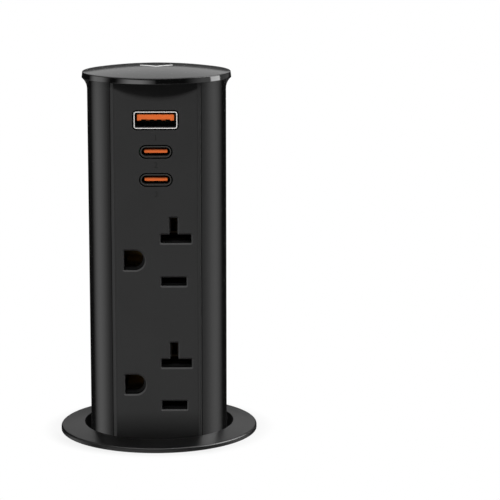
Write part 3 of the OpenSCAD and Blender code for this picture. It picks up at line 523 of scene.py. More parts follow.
def port_recipe(colour):
    """Plated sheet that is bright at its rolled front edge, with painted shade inside the port."""
    def recipe(place):
        worked = plated(colour, 0.28, (1.0, 0.2, 1.0))(place)
        # Painted shade: just behind its front edge the sheet turns near black, as the inside of a port in
        # shade.
        inside = place.axes()[1].ramp(-15.92 * MM, -15.82 * MM)
        worked["Base Color"] = inside.mix(worked["Base Color"], grey(0.02))
        return worked
    return recipe


def contact_recipe(place):
    """Brass strip with painted shade: near black at its front, where it shows through the slots, brass
    further back.
    """
    worked = plated((0.42, 0.30, 0.12), 0.42, (1.0, 1.0, 0.1))(place)
    # Painted shade: the brass fades to near black towards its front end.
    brass_behind_painted_shade = place.axes()[1].ramp(-8.0 * MM, -1.0 * MM)
    worked["Base Color"] = brass_behind_painted_shade.mix((0.010, 0.008, 0.005, 1.0), worked["Base Color"])
    return worked


ZINC = (0.58, 0.58, 0.60)
finish("washer_steel", plated(ZINC, 0.34, scale=250.0), Metallic=1.0)
finish("screw_steel", plated(ZINC, 0.28), Metallic=1.0)
finish("spring_steel", plated((0.50, 0.50, 0.52), 0.25, scale=1400.0), Metallic=1.0)
finish("contact_brass", contact_recipe, Metallic=1.0)
finish("port_bright", port_recipe((0.86, 0.84, 0.82)), Metallic=0.3)
finish("port_dark", port_recipe((0.038, 0.038, 0.036)), Specular_IOR_Level=0.15)
print(len(bpy.data.materials), "finishes so far")

# %% [markdown]
# ## The charger's parts
# The board is green lacquer over copper tracks, the transformer is wound in yellow tape, the capacitors
# wear a printed sleeve, and the ports' tongues are orange plastic.

# %% The charger's finishes
TAPE_TURN = 1.6 * MM


def board_recipe(place):
    """Green lacquer, a shade lighter over the tracks: bands where a stretched noise passes a level."""
    line = place.stretched((1.0, 1.0, 0.25)).noise(500.0, 0.0).ramp(0.50, 0.53)
    return {"Base Color": line.mix((0.012, 0.10, 0.035, 1.0), (0.025, 0.19, 0.075, 1.0)),
            "Roughness": 0.30 + line * 0.08,
            "Normal": line.bump(2e-5)}


def tape_recipe(place):
    """Yellow tape in turns: thin darker lines at the end of each turn's share of the height."""
    height = place.axes()[2]
    lap = height.math("FRACT", height * (1 / TAPE_TURN)).ramp(0.86, 0.98)
    return {"Base Color": lap.mix((0.70, 0.53, 0.09, 1.0), (0.42, 0.30, 0.04, 1.0)),
            "Roughness": 0.35 + lap * 0.2,
            "Normal": (1 - lap).bump(4e-5)}


def sleeve_recipe(place):
    """Dark blue sleeve with one pale stripe, and the bare metal end."""
    across, depth, _ = place.axes()
    stripe = abs(abs(across) - 5.0 * MM).ramp(0.9 * MM, 1.1 * MM)
    cap = depth.ramp(10.6 * MM, 10.8 * MM)
    sleeve = stripe.mix((0.45, 0.46, 0.50, 1.0), (0.012, 0.014, 0.05, 1.0))
    return {"Base Color": cap.mix(sleeve, (0.62, 0.63, 0.65, 1.0)),
            "Roughness": 0.38 - cap * 0.1 + place.noise(900.0) * 0.05,
            "Metallic": cap}


def orange_recipe(place):
    """Orange plastic with faint flow lines along the tongue."""
    flow = place.stretched((0.3, 1.0, 1.0)).noise(900.0, LAYERS)
    return {"Base Color": flow.mix((0.55, 0.105, 0.020, 1.0), (0.66, 0.140, 0.030, 1.0)),
            "Roughness": 0.42 + flow * 0.08,
            "Normal": place.noise(2500.0).bump(2e-6)}


finish("board_green", board_recipe)
finish("transformer_yellow", tape_recipe)
finish("capacitor_sleeve", sleeve_recipe)
finish("tongue_orange", orange_recipe)
print(len(bpy.data.materials), "finishes")

# %% [markdown]
# ## Parts that keep their solid
# Screws, strips, springs' seats and the parts inside are plain forms whose solids are already right. They
# only take their finish: the packed record names a finish slot for every solid, and the materials above
# carry the same names.

# %% Finishes of the solids
for part in frame["record"]["subparts"]:
    solid = frame["nodes"][part["node"]]
    solid.data.materials.clear()
    solid.data.materials.append(bpy.data.materials[part["material_slot"]])

# %% [markdown]
# ## The lid
# The lid is a shallow dome with a thin upright rim, and a spigot under it that drops between the shells. A
# dome is an arc turned round the axis. The spigot stops at the flat web in front, so its radius depends on
# the angle: it is the smaller of the round bore and the line of the web, and it ends where hardly any wall
# is left.

# %% The lid
LID_R, RIM_TOP, RIM_LOW, DOME, DRAFT, RIM_ROUND = 22.0, 108.0, 106.35, 1.8, 0.2, 0.12
SPIGOT_R, SPIGOT_WALL, SPIGOT_LOW, THINNEST, WEB_LINE = 18.05, 1.8, 102.85, 0.3, 11.77
SCREW_BORE, BOSS_R, BOSS_LOW, BOSS_X, BOSS_Y = 1.25, 2.4, 101.9, (-9, 9), 3.0


def to_flat(depth, angles):
    """Radius at which a line from the axis meets a flat in front: its depth over the angle's cosine."""
    return depth / np.maximum(np.cos(angles), 0.05)


dome_r = (LID_R ** 2 + DOME ** 2) / (2 * DOME)
arc = np.linspace(0, asin((LID_R - 0.4) / dome_r), 40)
dome = np.stack([dome_r * np.sin(arc), RIM_TOP + DOME - dome_r * (1 - np.cos(arc))], -1)
rim = eased([(LID_R - 3, RIM_TOP + 0.45), (LID_R - DRAFT, RIM_TOP), (LID_R, RIM_LOW), (LID_R - 3, RIM_LOW)],
            [0, RIM_ROUND, RIM_ROUND, 0])[1:]
angles = np.linspace(-pi, pi, 240, endpoint=False)
wall_out = np.minimum(SPIGOT_R, to_flat(WEB_LINE, angles))
wall_in = np.minimum(SPIGOT_R - SPIGOT_WALL, wall_out)
low = np.where(wall_out - wall_in > THINNEST, SPIGOT_LOW, RIM_LOW)
wall_in = np.where(low < RIM_LOW, wall_in, wall_out)
around = np.ones_like(angles)
level = RIM_LOW * around
radius = np.concatenate([dome[:, :1] * around, rim[:, :1] * around,
                         [wall_out, wall_out, wall_in, wall_in, 0 * around]])
height = np.concatenate([dome[:, 1:] * around, rim[:, 1:] * around, [level, low, low, level, level]])
lid_skin = turned(radius, height, angles[None]), quads(len(radius), len(angles))
boss = rectangle((SCREW_BORE, BOSS_LOW), (BOSS_R, RIM_LOW - 0.01), 0.1)
piece("lid_moulding", [lid_skin] + [turned_ring(boss, 48, (x, BOSS_Y)) for x in BOSS_X], "tower",
      "lid_black", "lid")

# %% [markdown]
# ## The collar and its sleeve
# One moulding makes the flange on the desk, the well for the lid, the threaded sleeve under the desk and
# the D-shaped lip that guides the tower. All of it is a polar surface: a radius for every height and angle.
# For the thread the radius follows a tooth whose phase moves one pitch per turn, and for the lip it is the
# smaller of a circle and the tower's flat.

# %% The collar's rows
FLANGE_R, FLANGE_TOP, FALL, WELL_R, NECK_R, ROOT_R = 29.5, 2.3, 1.0, 22.3, 24.7, 23.7
SEAT_OUT, SEAT_IN, SEAT_DEEP = 27.8, 25.2, 0.6
NECK_END, THREAD_END, SLEEVE_END = -6.0, -54.0, -162.0
PITCH_MM, TOOTH_HALF, FLANK, RUNOUT = 3.0, 0.36, 0.2, 1.5
LIP_R, LIP_FLAT, LIP_TOP, LIP_LOW, LIP_EASE = 20.7, 16.32, -6.95, -12.95, 0.3

lip_edge = acos(LIP_FLAT / LIP_R)
angles = np.unique(np.concatenate([np.linspace(-pi, pi, 193)[:-1], [-lip_edge, lip_edge]]))
slant = np.array([WELL_R, FLANGE_R]), np.array([FLANGE_TOP, FLANGE_TOP - FALL])
guard = [(r, np.interp(r, *slant)) for r in (WELL_R + 0.7, FLANGE_R - 0.9)]
top = eased([(WELL_R, FLANGE_TOP - 2), (WELL_R, FLANGE_TOP), *guard, (FLANGE_R, FLANGE_TOP - FALL),
             (FLANGE_R, 0), (SEAT_OUT, 0), (SEAT_OUT, SEAT_DEEP), (SEAT_IN, SEAT_DEEP), (SEAT_IN, 0),
             (NECK_R, 0), (NECK_R, NECK_END)],
            [0, 0.3, 0, 0, 0.5, 0.12, 0.1, 0, 0, 0.1, 0.2, 0], steps=8)
top = begun_at(top, [WELL_R, FLANGE_TOP - 2])
thread_z = np.linspace(NECK_END, THREAD_END - 1, 230)[1:]
phase = (thread_z[:, None] / PITCH_MM - angles[None] / (2 * pi)) % 1.0
tooth = np.clip((TOOTH_HALF - np.abs(phase - 0.5)) / FLANK, 0, 1)
runout = np.clip((thread_z - THREAD_END + 1) / RUNOUT, 0, 1)[:, None]
neck = np.clip((thread_z - NECK_END + RUNOUT) / RUNOUT, 0, 1)[:, None]
thread_r = ROOT_R + (NECK_R - ROOT_R) * np.maximum(tooth * runout, neck)
foot = eased([(ROOT_R, SLEEVE_END + 3), (ROOT_R, SLEEVE_END), (WELL_R, SLEEVE_END),
              (WELL_R, SLEEVE_END + 3)], [0, 0.3, 0.3, 0])
foot = begun_at(foot, [ROOT_R, SLEEVE_END + 3])
guide = np.minimum(LIP_R, to_flat(LIP_FLAT, angles))
around = np.ones_like(angles)
lip = [WELL_R * around, guide + LIP_EASE, guide, guide, guide + LIP_EASE, WELL_R * around]
lip_z = [LIP_LOW, LIP_LOW, LIP_LOW + LIP_EASE, LIP_TOP - LIP_EASE, LIP_TOP, LIP_TOP]
print("rows of flange, thread, foot and lip:", [len(rows) for rows in (top, thread_z, foot, lip)])

# %% [markdown]
# Three screws hold the bottom cap. Each comes in from the side through the sleeve's wall, in a plain bore
# with a wider seat for its head, so two bars are cut out for each.

# %% The collar
CAP_SCREWS, CAP_SCREW_Z = (30, 150, 270), -159.5
CAP_BORES, CAP_BORE_END = ((1.05, 21.0), (1.85, 22.8)), 26.0


def across_wall(bearing, radius, start):
    """Bar through the sleeve's wall: an upright bar, whose length is laid along a bearing from the axis."""
    bar, *sheets = rod(0, 0, 0, radius, upright, start, CAP_BORE_END, 32)
    rise, side, along = np.moveaxis(bar, -1, 0)
    c, s = cos(radians(bearing)), sin(radians(bearing))
    return np.stack([along * c - side * s, along * s + side * c, rise + CAP_SCREW_Z], -1), *sheets


radius = np.concatenate([top[:, :1] * around, thread_r, foot[:, :1] * around, lip])
height = np.concatenate([top[:, 1], thread_z, foot[:, 1], lip_z])[:, None]
collar_skin = turned(radius, height, angles[None]), quads(len(radius), len(angles), close_rows=True)
holes = [across_wall(bearing, *bore) for bearing in CAP_SCREWS for bore in CAP_BORES]
collar = piece("collar_moulding", [collar_skin], "housing", "collar_black", "collar_sleeve", cuts=[holes])

# %% [markdown]
# ## The tower's shells
# The front shell is one section all the way up: two round columns, the strips beside the panel and the web
# behind it. Its outline is drawn once, its corners are eased, and a prism carries it up.

# %% The front shell's section
TOWER_R, BORE_R, FLAT_Y, PANEL_HALF, FLAT_HALF = 20.45, 18.65, 16.07, 12.1, 12.65
WEB_FRONT, WEB_BACK, SHELL_LOW, SHELL_TOP = -13.87, -12.37, -24.0, 106.35
SEAM = radians(80)
GROOVE_DEEP, GROOVE_AT = 0.28, np.array([0.50, 0.64, 0.78])


def polar(radius, angle):
    """Points at angles from the front, on a circle or on several radii."""
    radius, angle = np.broadcast_arrays(radius, angle)
    return np.stack([radius * np.sin(angle), -radius * np.cos(angle)], -1)


groove = asin(FLAT_HALF / TOWER_R) + GROOVE_AT / TOWER_R
column = np.concatenate([polar(TOWER_R - np.array([0, GROOVE_DEEP, 0]), groove),
                         polar(TOWER_R, np.linspace(groove[-1] + 0.03, SEAM, 40))])
inside = polar(BORE_R, np.linspace(SEAM, acos(-WEB_BACK / BORE_R), 40))
strip = [(PANEL_HALF, WEB_FRONT), (PANEL_HALF, -FLAT_Y), (FLAT_HALF, -FLAT_Y)]
half = np.concatenate([strip, column, inside])
radii = np.concatenate([[0, 0.06, 1.5], np.zeros(len(column) - 1), [0.1, 0.1], np.zeros(len(inside) - 1)])
outline = eased(np.concatenate([half, half[::-1] * [-1, 1]]), np.concatenate([radii, radii[::-1]]))
print("section of the front shell:", len(outline), "points")

# %% [markdown]
# The windows for the outlets and ports are cut through the web afterwards, because a cut is simpler than
# weaving holes into a grid. Posts with screw holes carry the charger's board, and the tower's foot is
# screwed to posts at the lower end of both shells.

# %% The front shell
OUTLETS, PORT_A, PORT_C = (17.1, 54.3), 95.4, (86.2, 78.0)
OUTLET_WINDOW, PORT_WINDOW = ((-10.65, -8.7), (11.15, 13.65)), ((-7.55, 75.15), (7.55, 99.15))
WINDOW_R = 0.4
BOARD_FRONT, POST_R, POST_HOLE = -1.67, 2.2, 6.4
POSTS = [(x, z) for x in (-10.2, 10.2) for z in (77.2, 95.65)]
FOOT_RING, FOOT_POST, FOOT_HOLE = 16.55, 14, 13
BLOCK_SCREWS, BLOCK_SCREW_Z = (-4.0, 5.0), 36.7


def window(low, high, z=0):
    """Bar that cuts a rounded rectangle through the web, between two corners counted from a height."""
    outline = rectangle((low[0], z + low[1]), (high[0], z + high[1]), WINDOW_R)
    return prism(outline, [(WEB_FRONT - 1, 0), (WEB_BACK + 1, 0)], frontwards)


def foot_posts(angle):
    """Posts for the foot's screws at an angle to the left and right of the front, and the holes in them."""
    x, y = polar(FOOT_RING, angle)
    solid, hollow = (BOSS_R, upright, SHELL_LOW + 0.01), (SCREW_BORE, upright, SHELL_LOW - 1)
    return ([rod(side, y, 0, *solid, SHELL_LOW + FOOT_POST) for side in (-x, x)],
            [rod(side, y, 0, *hollow, SHELL_LOW + FOOT_HOLE) for side in (-x, x)])


windows = [window(*OUTLET_WINDOW, z) for z in OUTLETS] + [window(*PORT_WINDOW)]
posts = [rod(x, 0, z, POST_R, frontwards, WEB_BACK - 0.3, BOARD_FRONT - 0.05) for x, z in POSTS]
holes = [rod(x, 0, z, SCREW_BORE, frontwards, BOARD_FRONT - POST_HOLE, BOARD_FRONT + 1) for x, z in POSTS]
front_posts, front_holes = foot_posts(radians(62))
holes += front_holes
holes += [rod(x, 0, BLOCK_SCREW_Z, SCREW_BORE, frontwards, WEB_FRONT - 1, WEB_BACK + 1)
          for x in BLOCK_SCREWS]
body = prism(outline, round_ends(SHELL_LOW, SHELL_TOP, 0.05), upright)
piece("front_moulding", [body], "tower", "shell_black", "front_shell",
      joins=posts + front_posts, cuts=[windows + holes])

# %% [markdown]
# The rear shell is a wall section carried round the back. Under the lid it sweeps outwards in a hollow
# curve: an arc that leaves the wall smoothly and ends at the lid's edge. Inside it has a ledge for the
# bridge that holds the lid. The two ends of the sweep are closed with the section itself.

# %% The rear shell
FLARE, LEDGE_R, LEDGE_TOP, LEDGE_LOW = 3.5, 17.05, 99.85, 98.05
REAR_FROM, REAR_TO = radians(80.28), radians(279.72)

flare_r = (FLARE ** 2 + (LID_R - TOWER_R) ** 2) / (2 * (LID_R - TOWER_R))
rise = np.linspace(0, FLARE, 16)
flare = np.stack([TOWER_R + flare_r - np.sqrt(flare_r ** 2 - rise ** 2), RIM_LOW - FLARE + rise], -1)
section = np.concatenate([[(BORE_R, SHELL_LOW), (TOWER_R, SHELL_LOW), (TOWER_R, SHELL_LOW + 1),
                           (TOWER_R, RIM_LOW - FLARE - 1)], flare,
                          [(BORE_R, RIM_LOW), (BORE_R, LEDGE_TOP), (LEDGE_R, LEDGE_TOP),
                           (LEDGE_R, LEDGE_LOW), (BORE_R, LEDGE_LOW)]])
radii = np.concatenate([[0.12, 0.12, 0, 0], np.zeros(len(flare)), [0.12, 0, 0.15, 0.15, 0]])
section = eased(section, radii)
angles = np.linspace(REAR_FROM, REAR_TO, 140)
wall = turned(section[:, :1], section[:, 1:], angles[None])
rows, cols = wall.shape[:2]
ends = np.arange(rows)[None] * cols, np.arange(rows)[None] * cols + cols - 1
rear_posts, rear_holes = foot_posts(radians(130))
piece("rear_moulding", [(wall, quads(rows, cols, True, False), *ends)], "tower", "shell_black",
      "rear_shell", joins=rear_posts, cuts=[rear_holes])

# %% [markdown]
# ## The socket panel
# The panel is a flat plate. Each opening is an outline carried through it. Near the face the outline grows,
# so the same cut leaves the bevel that guides a blade into its slot. The T slots have inner corners, where
# a growing outline would fold over itself, so their bar and stem are cut one after the other.

# %% The panel's openings
BLADE_X, BLADE_GAP, BLADE_HALF, SLOT_HALF, SLOT_R = 5.0, 12.7, 3.6, 1.15, 0.12
TEE_X, TEE_LEFT, TEE_RIGHT, STEM_HALF, STEM_TOP = 5.65, 4.35, 4.4, 1.12, 6.1
GROUND_LEFT, GROUND_H, GROUND_W = -9.45, 5.6, 5.9
BEVEL, PORT_BEVEL, OVER, DRAFT_GROWTH = 0.45, 0.06, 0.4, 0.12
A_HALF, C_HALF, WIDE_GAP, GAP = (6.35, 2.55), (4.5, 1.65), 0.36, 0.37


def opening(outline, bevel):
    """Cutting bar along Y: wide in front of the face, its plain size once it is a bevel deep."""
    levels = [(-FLAT_Y - OVER, -bevel - OVER), (-FLAT_Y + bevel, 0), (WEB_FRONT + 1, 0)]
    return prism(outline, levels, frontwards)


def grown_opening(outline):
    """Opening for a blade or pin: bevelled, and wider all round by what the mould's draft leaves."""
    return opening(outline + DRAFT_GROWTH * outward(outline), BEVEL)


def slot(left, right, low, high):
    """Opening for a flat blade: a rectangle with small corner radii."""
    return grown_opening(rectangle((left, low), (right, high), SLOT_R))


def ground_hole(z):
    """D-shaped outline: a half circle on the right, and a flat side with eased corners on the left."""
    half = GROUND_H / 2
    a = np.linspace(-pi / 2, pi / 2, 40)
    bow = np.stack([GROUND_LEFT + GROUND_W - half * (1 - np.cos(a)), z + half * np.sin(a)], -1)
    flat_side = eased([(GROUND_LEFT, z + half), (GROUND_LEFT, z - half), bow[0], bow[-1]], [0.2, 0.2, 0, 0])
    start = int(np.argmin(np.linalg.norm(flat_side - bow[0], axis=1)))
    return np.concatenate([bow, np.roll(flat_side, -start - 2, 0)[:-2]])


def round_port(half, z, gap, radius, steps):
    """Rounded rectangle of a port about the middle line: its half sizes, each larger by a gap."""
    x, y = half
    return rectangle((-x - gap, z - y - gap), (x + gap, z + y + gap), radius, steps)


cuts, stems = [], []
for z in OUTLETS:
    hot, tee = z - BLADE_GAP / 2, z + BLADE_GAP / 2
    cuts.append(slot(BLADE_X - BLADE_HALF, BLADE_X + BLADE_HALF, hot - SLOT_HALF, hot + SLOT_HALF))
    cuts.append(slot(TEE_X - TEE_LEFT, TEE_X + TEE_RIGHT, tee - SLOT_HALF, tee + SLOT_HALF))
    stems.append(slot(BLADE_X - STEM_HALF, BLADE_X + STEM_HALF, tee, tee + STEM_TOP))
    cuts.append(grown_opening(ground_hole(z)))
cuts.append(opening(round_port(A_HALF, PORT_A, WIDE_GAP, 1.2, 8), PORT_BEVEL))
cuts += [opening(round_port(C_HALF, z, GAP, 2.0, 12), PORT_BEVEL) for z in PORT_C]
print(len(cuts) + len(stems), "cuts for the panel")

# %% The panel
edge = PANEL_HALF - 0.02
plate = rectangle((-edge, -FLAT_Y), (edge, WEB_FRONT - 0.05), [0.06, 0.06, 0.1, 0.1])
piece("panel_plate", [prism(plate, round_ends(SHELL_LOW, SHELL_TOP - 0.1, 0.05), upright)], "tower",
      "panel_black", "socket_panel", cuts=[cuts, stems], sharp=10)

# %% [markdown]
# ## The charging ports
# A port is a folded metal shell round a plastic tongue. The shell is thin sheet with a rolled front edge: a
# small rounded strip carried round a rounded rectangle. The large port's edge slopes in a little, and its
# tongue has a shallow channel for each contact.

# %% The ports
PORT_FRONT, SHEET = -15.97, 0.35
TONGUE_LOW, TONGUE_TOP, TONGUE_HALF, TONGUE_R, A_RECESS = 95.15, 97.15, 5.35, 0.25, 0.9
CHANNELS, CHANNEL_DEEP = (-3.5, -1.0, 1.0, 3.5), 0.25
BAR_HALF, BAR_LOW, BAR_TOP, BAR_R, C_RECESS = 3.35, 0.48, 0.72, 0.3, 1.25

strip = eased([(0, PORT_FRONT), (0, BOARD_FRONT), (-SHEET, BOARD_FRONT), (-SHEET, PORT_FRONT)],
              [0.14, 0.05, 0.05, 0.14])
rolled = eased([(-0.08, PORT_FRONT), (0, PORT_FRONT + 0.4), (0, BOARD_FRONT), (-SHEET, BOARD_FRONT),
                (-SHEET, PORT_FRONT)], [0.1, 0.1, 0.05, 0.05, 0.1])
piece("port_a_sheet", [tube(round_port(A_HALF, PORT_A, 0, 0.8, 10), rolled)], "tower", "port_bright",
      "usb_a_shell", sharp=50)
bed = TONGUE_LOW + CHANNEL_DEEP
channels = np.concatenate([[(x - 0.7, TONGUE_LOW), (x - 0.5, bed), (x + 0.5, bed), (x + 0.7, TONGUE_LOW)]
                           for x in CHANNELS])
tongue = np.concatenate([[(-TONGUE_HALF, TONGUE_LOW)], channels, [
    (TONGUE_HALF, TONGUE_LOW), (TONGUE_HALF, TONGUE_TOP), (-TONGUE_HALF, TONGUE_TOP)]])
tongue = eased(tongue, np.concatenate([[TONGUE_R], np.full(len(channels), 0.06), [TONGUE_R] * 3]))
piece("port_a_bar", [prism(tongue, round_ends(PORT_FRONT + A_RECESS, BOARD_FRONT, 0.15), frontwards)],
      "tower", "tongue_orange", "usb_a_tongue")
for name, z in zip(("upper", "lower"), PORT_C):
    piece(f"port_c_{name}_sheet", [tube(round_port(C_HALF, z, 0, 1.64, 16), strip)],
          "tower", "port_dark", f"usb_c_{name}_shell", sharp=50)
    bar = rectangle((-BAR_HALF, z - BAR_LOW), (BAR_HALF, z + BAR_TOP), BAR_R)
    levels = round_ends(PORT_FRONT + C_RECESS, BOARD_FRONT, 0.12)
    piece(f"port_c_{name}_bar", [prism(bar, levels, frontwards)], "tower", "tongue_orange",
          f"usb_c_{name}_tongue")

# %% [markdown]
# ## Clamp and grommet
# Under the desk a plated washer and a ribbed nut hold the sleeve. The nut is a polar surface again: near a
# rib the outer radius follows the rib's circle, and the rib fades out towards the nut's top. The grommet is
# a rubber ring with a lip at both ends.

# %% The clamp
WASHER = (24.95, -27.0), (33.0, -25.0)
NUT_R, NUT_BORE, NUT_TOP, NUT_LOW = 30.0, 24.8, -27.05, -37.05
RIB_R, RIBS, RIB_TOP, RIB_FADE, RIB_ROWS = 2.0, 10, -28.05, 0.7, (-28.75, -28.45, -28.1)
GROMMET_Y = 12.2
GROMMET = [(4, -165.5), (6.2, -165.5), (6.2, -164), (5, -164),
           (5, -157), (6.2, -157), (6.2, -155.5), (4, -155.5)]

washer = piece("washer_ring", [turned_ring(rectangle(*WASHER, [0.2, 0.5, 0.5, 0.2]))],
               "washer", "washer_steel", "clamp_washer")
angles = np.linspace(-pi, pi, 720, endpoint=False)
side = (angles - pi / 2 + pi / RIBS) % (2 * pi / RIBS) - pi / RIBS
rib = NUT_R * np.cos(side) + np.sqrt(np.maximum(RIB_R ** 2 - (NUT_R * np.sin(side)) ** 2, 0)) - NUT_R
rib = np.where(np.abs(NUT_R * np.sin(side)) < RIB_R, rib, 0)
ring = eased([(NUT_BORE, NUT_LOW), (NUT_R, NUT_LOW), *[(NUT_R, z) for z in RIB_ROWS], (NUT_R, NUT_TOP),
              (NUT_BORE, NUT_TOP)], [0.5, 0.7, 0, 0, 0, 0.5, 0.5])
share = np.clip((RIB_TOP - ring[:, 1]) / RIB_FADE, 0, 1) ** 0.5 * (ring[:, 0] > NUT_R - 2)
nut_skin = turned(ring[:, :1] + share[:, None] * rib, ring[:, 1:], angles[None])
nut = piece("nut_moulding", [(nut_skin, quads(len(ring), len(angles), True))], "nut", "nut_black",
            "clamp_nut")
grommet = eased(GROMMET, [0.5, 0.6, 0.3, 0.1, 0.1, 0.3, 0.6, 0.5])
piece("grommet_ring", [turned_ring(grommet, 96, (0, GROMMET_Y))], "housing", "rubber_black",
      "cord_grommet")

# %% [markdown]
# ## The springs
# A spring is a wire carried along a helix. At each step of the path the wire's circle lies across the way
# it runs: one axis points away from the spring's middle, the other is at right angles to both. The end
# turns of the lift spring lie close, so its height is piecewise linear in the turn.

# %% The springs
SPRING_R, WIRE, END_PITCH, TURNS, SLACK = 19.5, 1.4, 1.9, 9, 0.05
SPRING_LOW, SPRING_TOP, TRAVEL = -157, -27, 108
JAW_R, JAW_WIRE, JAW_PITCH, JAW_X, JAW_Y, JAW_Z = 1.75, 0.45, 0.9, (-6, 6), 0.9, -149


def coil(radius, wire, angle, height, sides=14):
    """Wire along an upright helix: circle points in the plane of the outward axis and the one across it."""
    way = np.stack([-radius * np.sin(angle), radius * np.cos(angle), np.gradient(height, angle)], -1)
    way /= np.linalg.norm(way, axis=1, keepdims=True)
    out = np.stack([np.cos(angle), np.sin(angle), 0 * angle], -1)
    side = np.cross(way, out)
    a = np.linspace(0, 2 * pi, sides, endpoint=False)[None, :, None]
    line = radius * out + np.stack([0 * angle, 0 * angle, height], -1)
    points = line[:, None] + wire / 2 * (np.cos(a) * out[:, None] + np.sin(a) * side[:, None])
    last = (len(angle) - 1) * sides
    return points, quads(len(angle), sides), np.arange(sides)[None], np.arange(last, last + sides)[None]


def laid_back(spring, x):
    """An upright spring laid along Y on its jaw: its height becomes the depth, its Y points down."""
    points, *sheets = spring
    across, up, along = np.moveaxis(points, -1, 0)
    return np.stack([across + x, along + JAW_Y, -up + JAW_Z], -1), *sheets


low, high = SPRING_LOW + WIRE / 2 + SLACK, SPRING_TOP - WIRE / 2 - SLACK
turns = np.linspace(0, TURNS + 2, (TURNS + 2) * 56 + 1)
climb = np.interp(turns, [0, 1, TURNS + 1, TURNS + 2], [low, low + END_PITCH, high - END_PITCH, high])
lift = piece("lift_coil", [coil(SPRING_R, WIRE, 2 * pi * turns, climb)], "housing", "spring_steel",
             "lift_spring")
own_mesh(lift)
turns = np.linspace(0, 2, 81)
jaw_coil = coil(JAW_R, JAW_WIRE, 2 * pi * turns, JAW_PITCH * turns)
piece("jaw_coils", [laid_back(jaw_coil, x) for x in JAW_X], "housing", "spring_steel", "jaw_springs")

# %% [markdown]
# ## Marks
# On the lid a white printed chevron shows where to press. Under each port a dark numeral is printed on the
# dark panel. Printing is a film, so the marks are thin plates on the surface that carries them.

# %% The press mark
HALF_W, HALF_H, STROKE, MARK_Y = 4.8, 1.9, 1.8, -2.0
FILM, SUNK = 0.02, 0.05


def print_recipe(tone):
    """Recipe for printing ink: fine specks a tenth darker than the tone, which sway the roughness too."""
    def recipe(place):
        speck = place.noise(4000.0)
        return {"Base Color": speck.mix(grey(tone * 0.9), grey(tone)), "Roughness": 0.5 + speck * 0.1}
    return recipe


def on_dome(line, lift):
    """A line on the lid's dome, lifted by a film's thickness: its height is that of the dome's ball."""
    x, y = line[..., 0], MARK_Y - line[..., 1]
    return np.stack([x, y, RIM_TOP + DOME - dome_r + np.sqrt(dome_r ** 2 - x ** 2 - y ** 2) + lift], -1)


finish("white_print", print_recipe(0.62))
finish("dark_print", print_recipe(0.013), Specular_IOR_Level=0.1)
across = np.linspace(-HALF_W, HALF_W, 61)
bend = HALF_H * (1 - 2 * np.abs(across) / HALF_W)
near, far = np.stack([across, bend - STROKE / 2], -1), np.stack([across, bend + STROKE / 2], -1)
film = np.stack([on_dome(near, FILM), on_dome(far, FILM), on_dome(far, -SUNK), on_dome(near, -SUNK)])
rows, cols = film.shape[:2]
first = np.arange(rows)[None] * cols
piece("press_mark", [(film, quads(rows, cols, True, False), first, first + cols - 1)], "tower",
      "lid_black", ink="white_print")

# %% The numerals
DIGIT, NUMBERS = 2.4, (("1", 90.3), ("2", 82.3), ("3", 73.8))


def numeral(name, text, z):
    """A digit of Blender's own font, made a thin plate on the panel's face."""
    curve = bpy.data.curves.new(name, "FONT")
    curve.body, curve.size, curve.align_x, curve.align_y = text, DIGIT * MM, "CENTER", "CENTER"
    curve.extrude = FILM * MM
    flat = placed(name, curve)
    mesh = bpy.data.meshes.new_from_object(flat.evaluated_get(bpy.context.evaluated_depsgraph_get()))
    bpy.data.objects.remove(flat)
    mesh.transform(Matrix.Translation(Vector((0, -FLAT_Y, z)) * MM) @ Matrix.Rotation(pi / 2, 4, "X"))
    mesh.name = name
    mesh.materials.clear()
    mesh.materials.append(bpy.data.materials["dark_print"])
    obj = placed(name, mesh)
    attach(obj, "tower")


for text, z in NUMBERS:
    numeral(f"port_number_{text}", text, z)
print("numerals at", [z for _, z in NUMBERS], "mm")

# %% [markdown]
# ## A sample of desk
# The collar sits in a hole near the back edge of a desk. A pale slab with that hole stands for it: it hides
# what is under the desk from the camera in front, and it takes the shadow. For the camera it fades to the
# plain white of the background away from the collar.

# %% The desk
DESK_T, HOLE_R = 25.0, 24.9
DESK_FRONT, DESK_BACK, DESK_CORNERS = (-112, -125), (112, 36), [14, 14, 6, 6]


def hide_from(obj, *kinds):
    """Takes an object out of the sight of some kinds of ray."""
    for kind in kinds:
        setattr(obj, "visible_" + kind, False)


def desk_material():
    """Pale lacquer. Seen straight on or in a mirror, its top is lit white, with shadow near the collar."""
    material = bpy.data.materials.new("desk_lacquer")
    material.use_nodes = True
    tree = material.node_tree
    tree.nodes.clear()
    place = Tone(tree).node("ShaderNodeTexCoord", out="Object")
    x, y, z = place.axes()
    reach = place.math("SQRT", x * x + y * y)
    top = z.ramp(-1.3 * MM, -0.6 * MM)
    white = seen_directly(tree) * top * (0.85 + 0.15 * reach.ramp(30 * MM, 36 * MM))
    grain = place.noise(300.0)
    lacquer = place.node("ShaderNodeBsdfDiffuse", {}, {"Color": grain.mix(grey(0.48), grey(0.52))})
    glow = place.node("ShaderNodeEmission", {}, {"Color": grey(1.0), "Strength": 1.0})
    mixed = place.node("ShaderNodeMixShader", {}, {0: white, 1: lacquer, 2: glow})
    tree.links.new(mixed.socket, tree.nodes.new("ShaderNodeOutputMaterial").inputs[0])
    return material


slab = rectangle(DESK_FRONT, DESK_BACK, DESK_CORNERS, 12)
hole = polar(HOLE_R, np.linspace(0, 2 * pi, 128, endpoint=False))
desk = placed("desk", shell_mesh("desk", [prism(slab, round_ends(-DESK_T, 0, 1.2), upright)]))
carved(desk, [prism(hole, [(-DESK_T - 1, 0), (1, 0)], upright)], "DIFFERENCE")
dressed(desk, desk_material(), 30)
hide_from(desk, "glossy")
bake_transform(desk)
desk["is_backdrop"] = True
print("desk", [round(v) for v in desk.dimensions / MM], "mm")

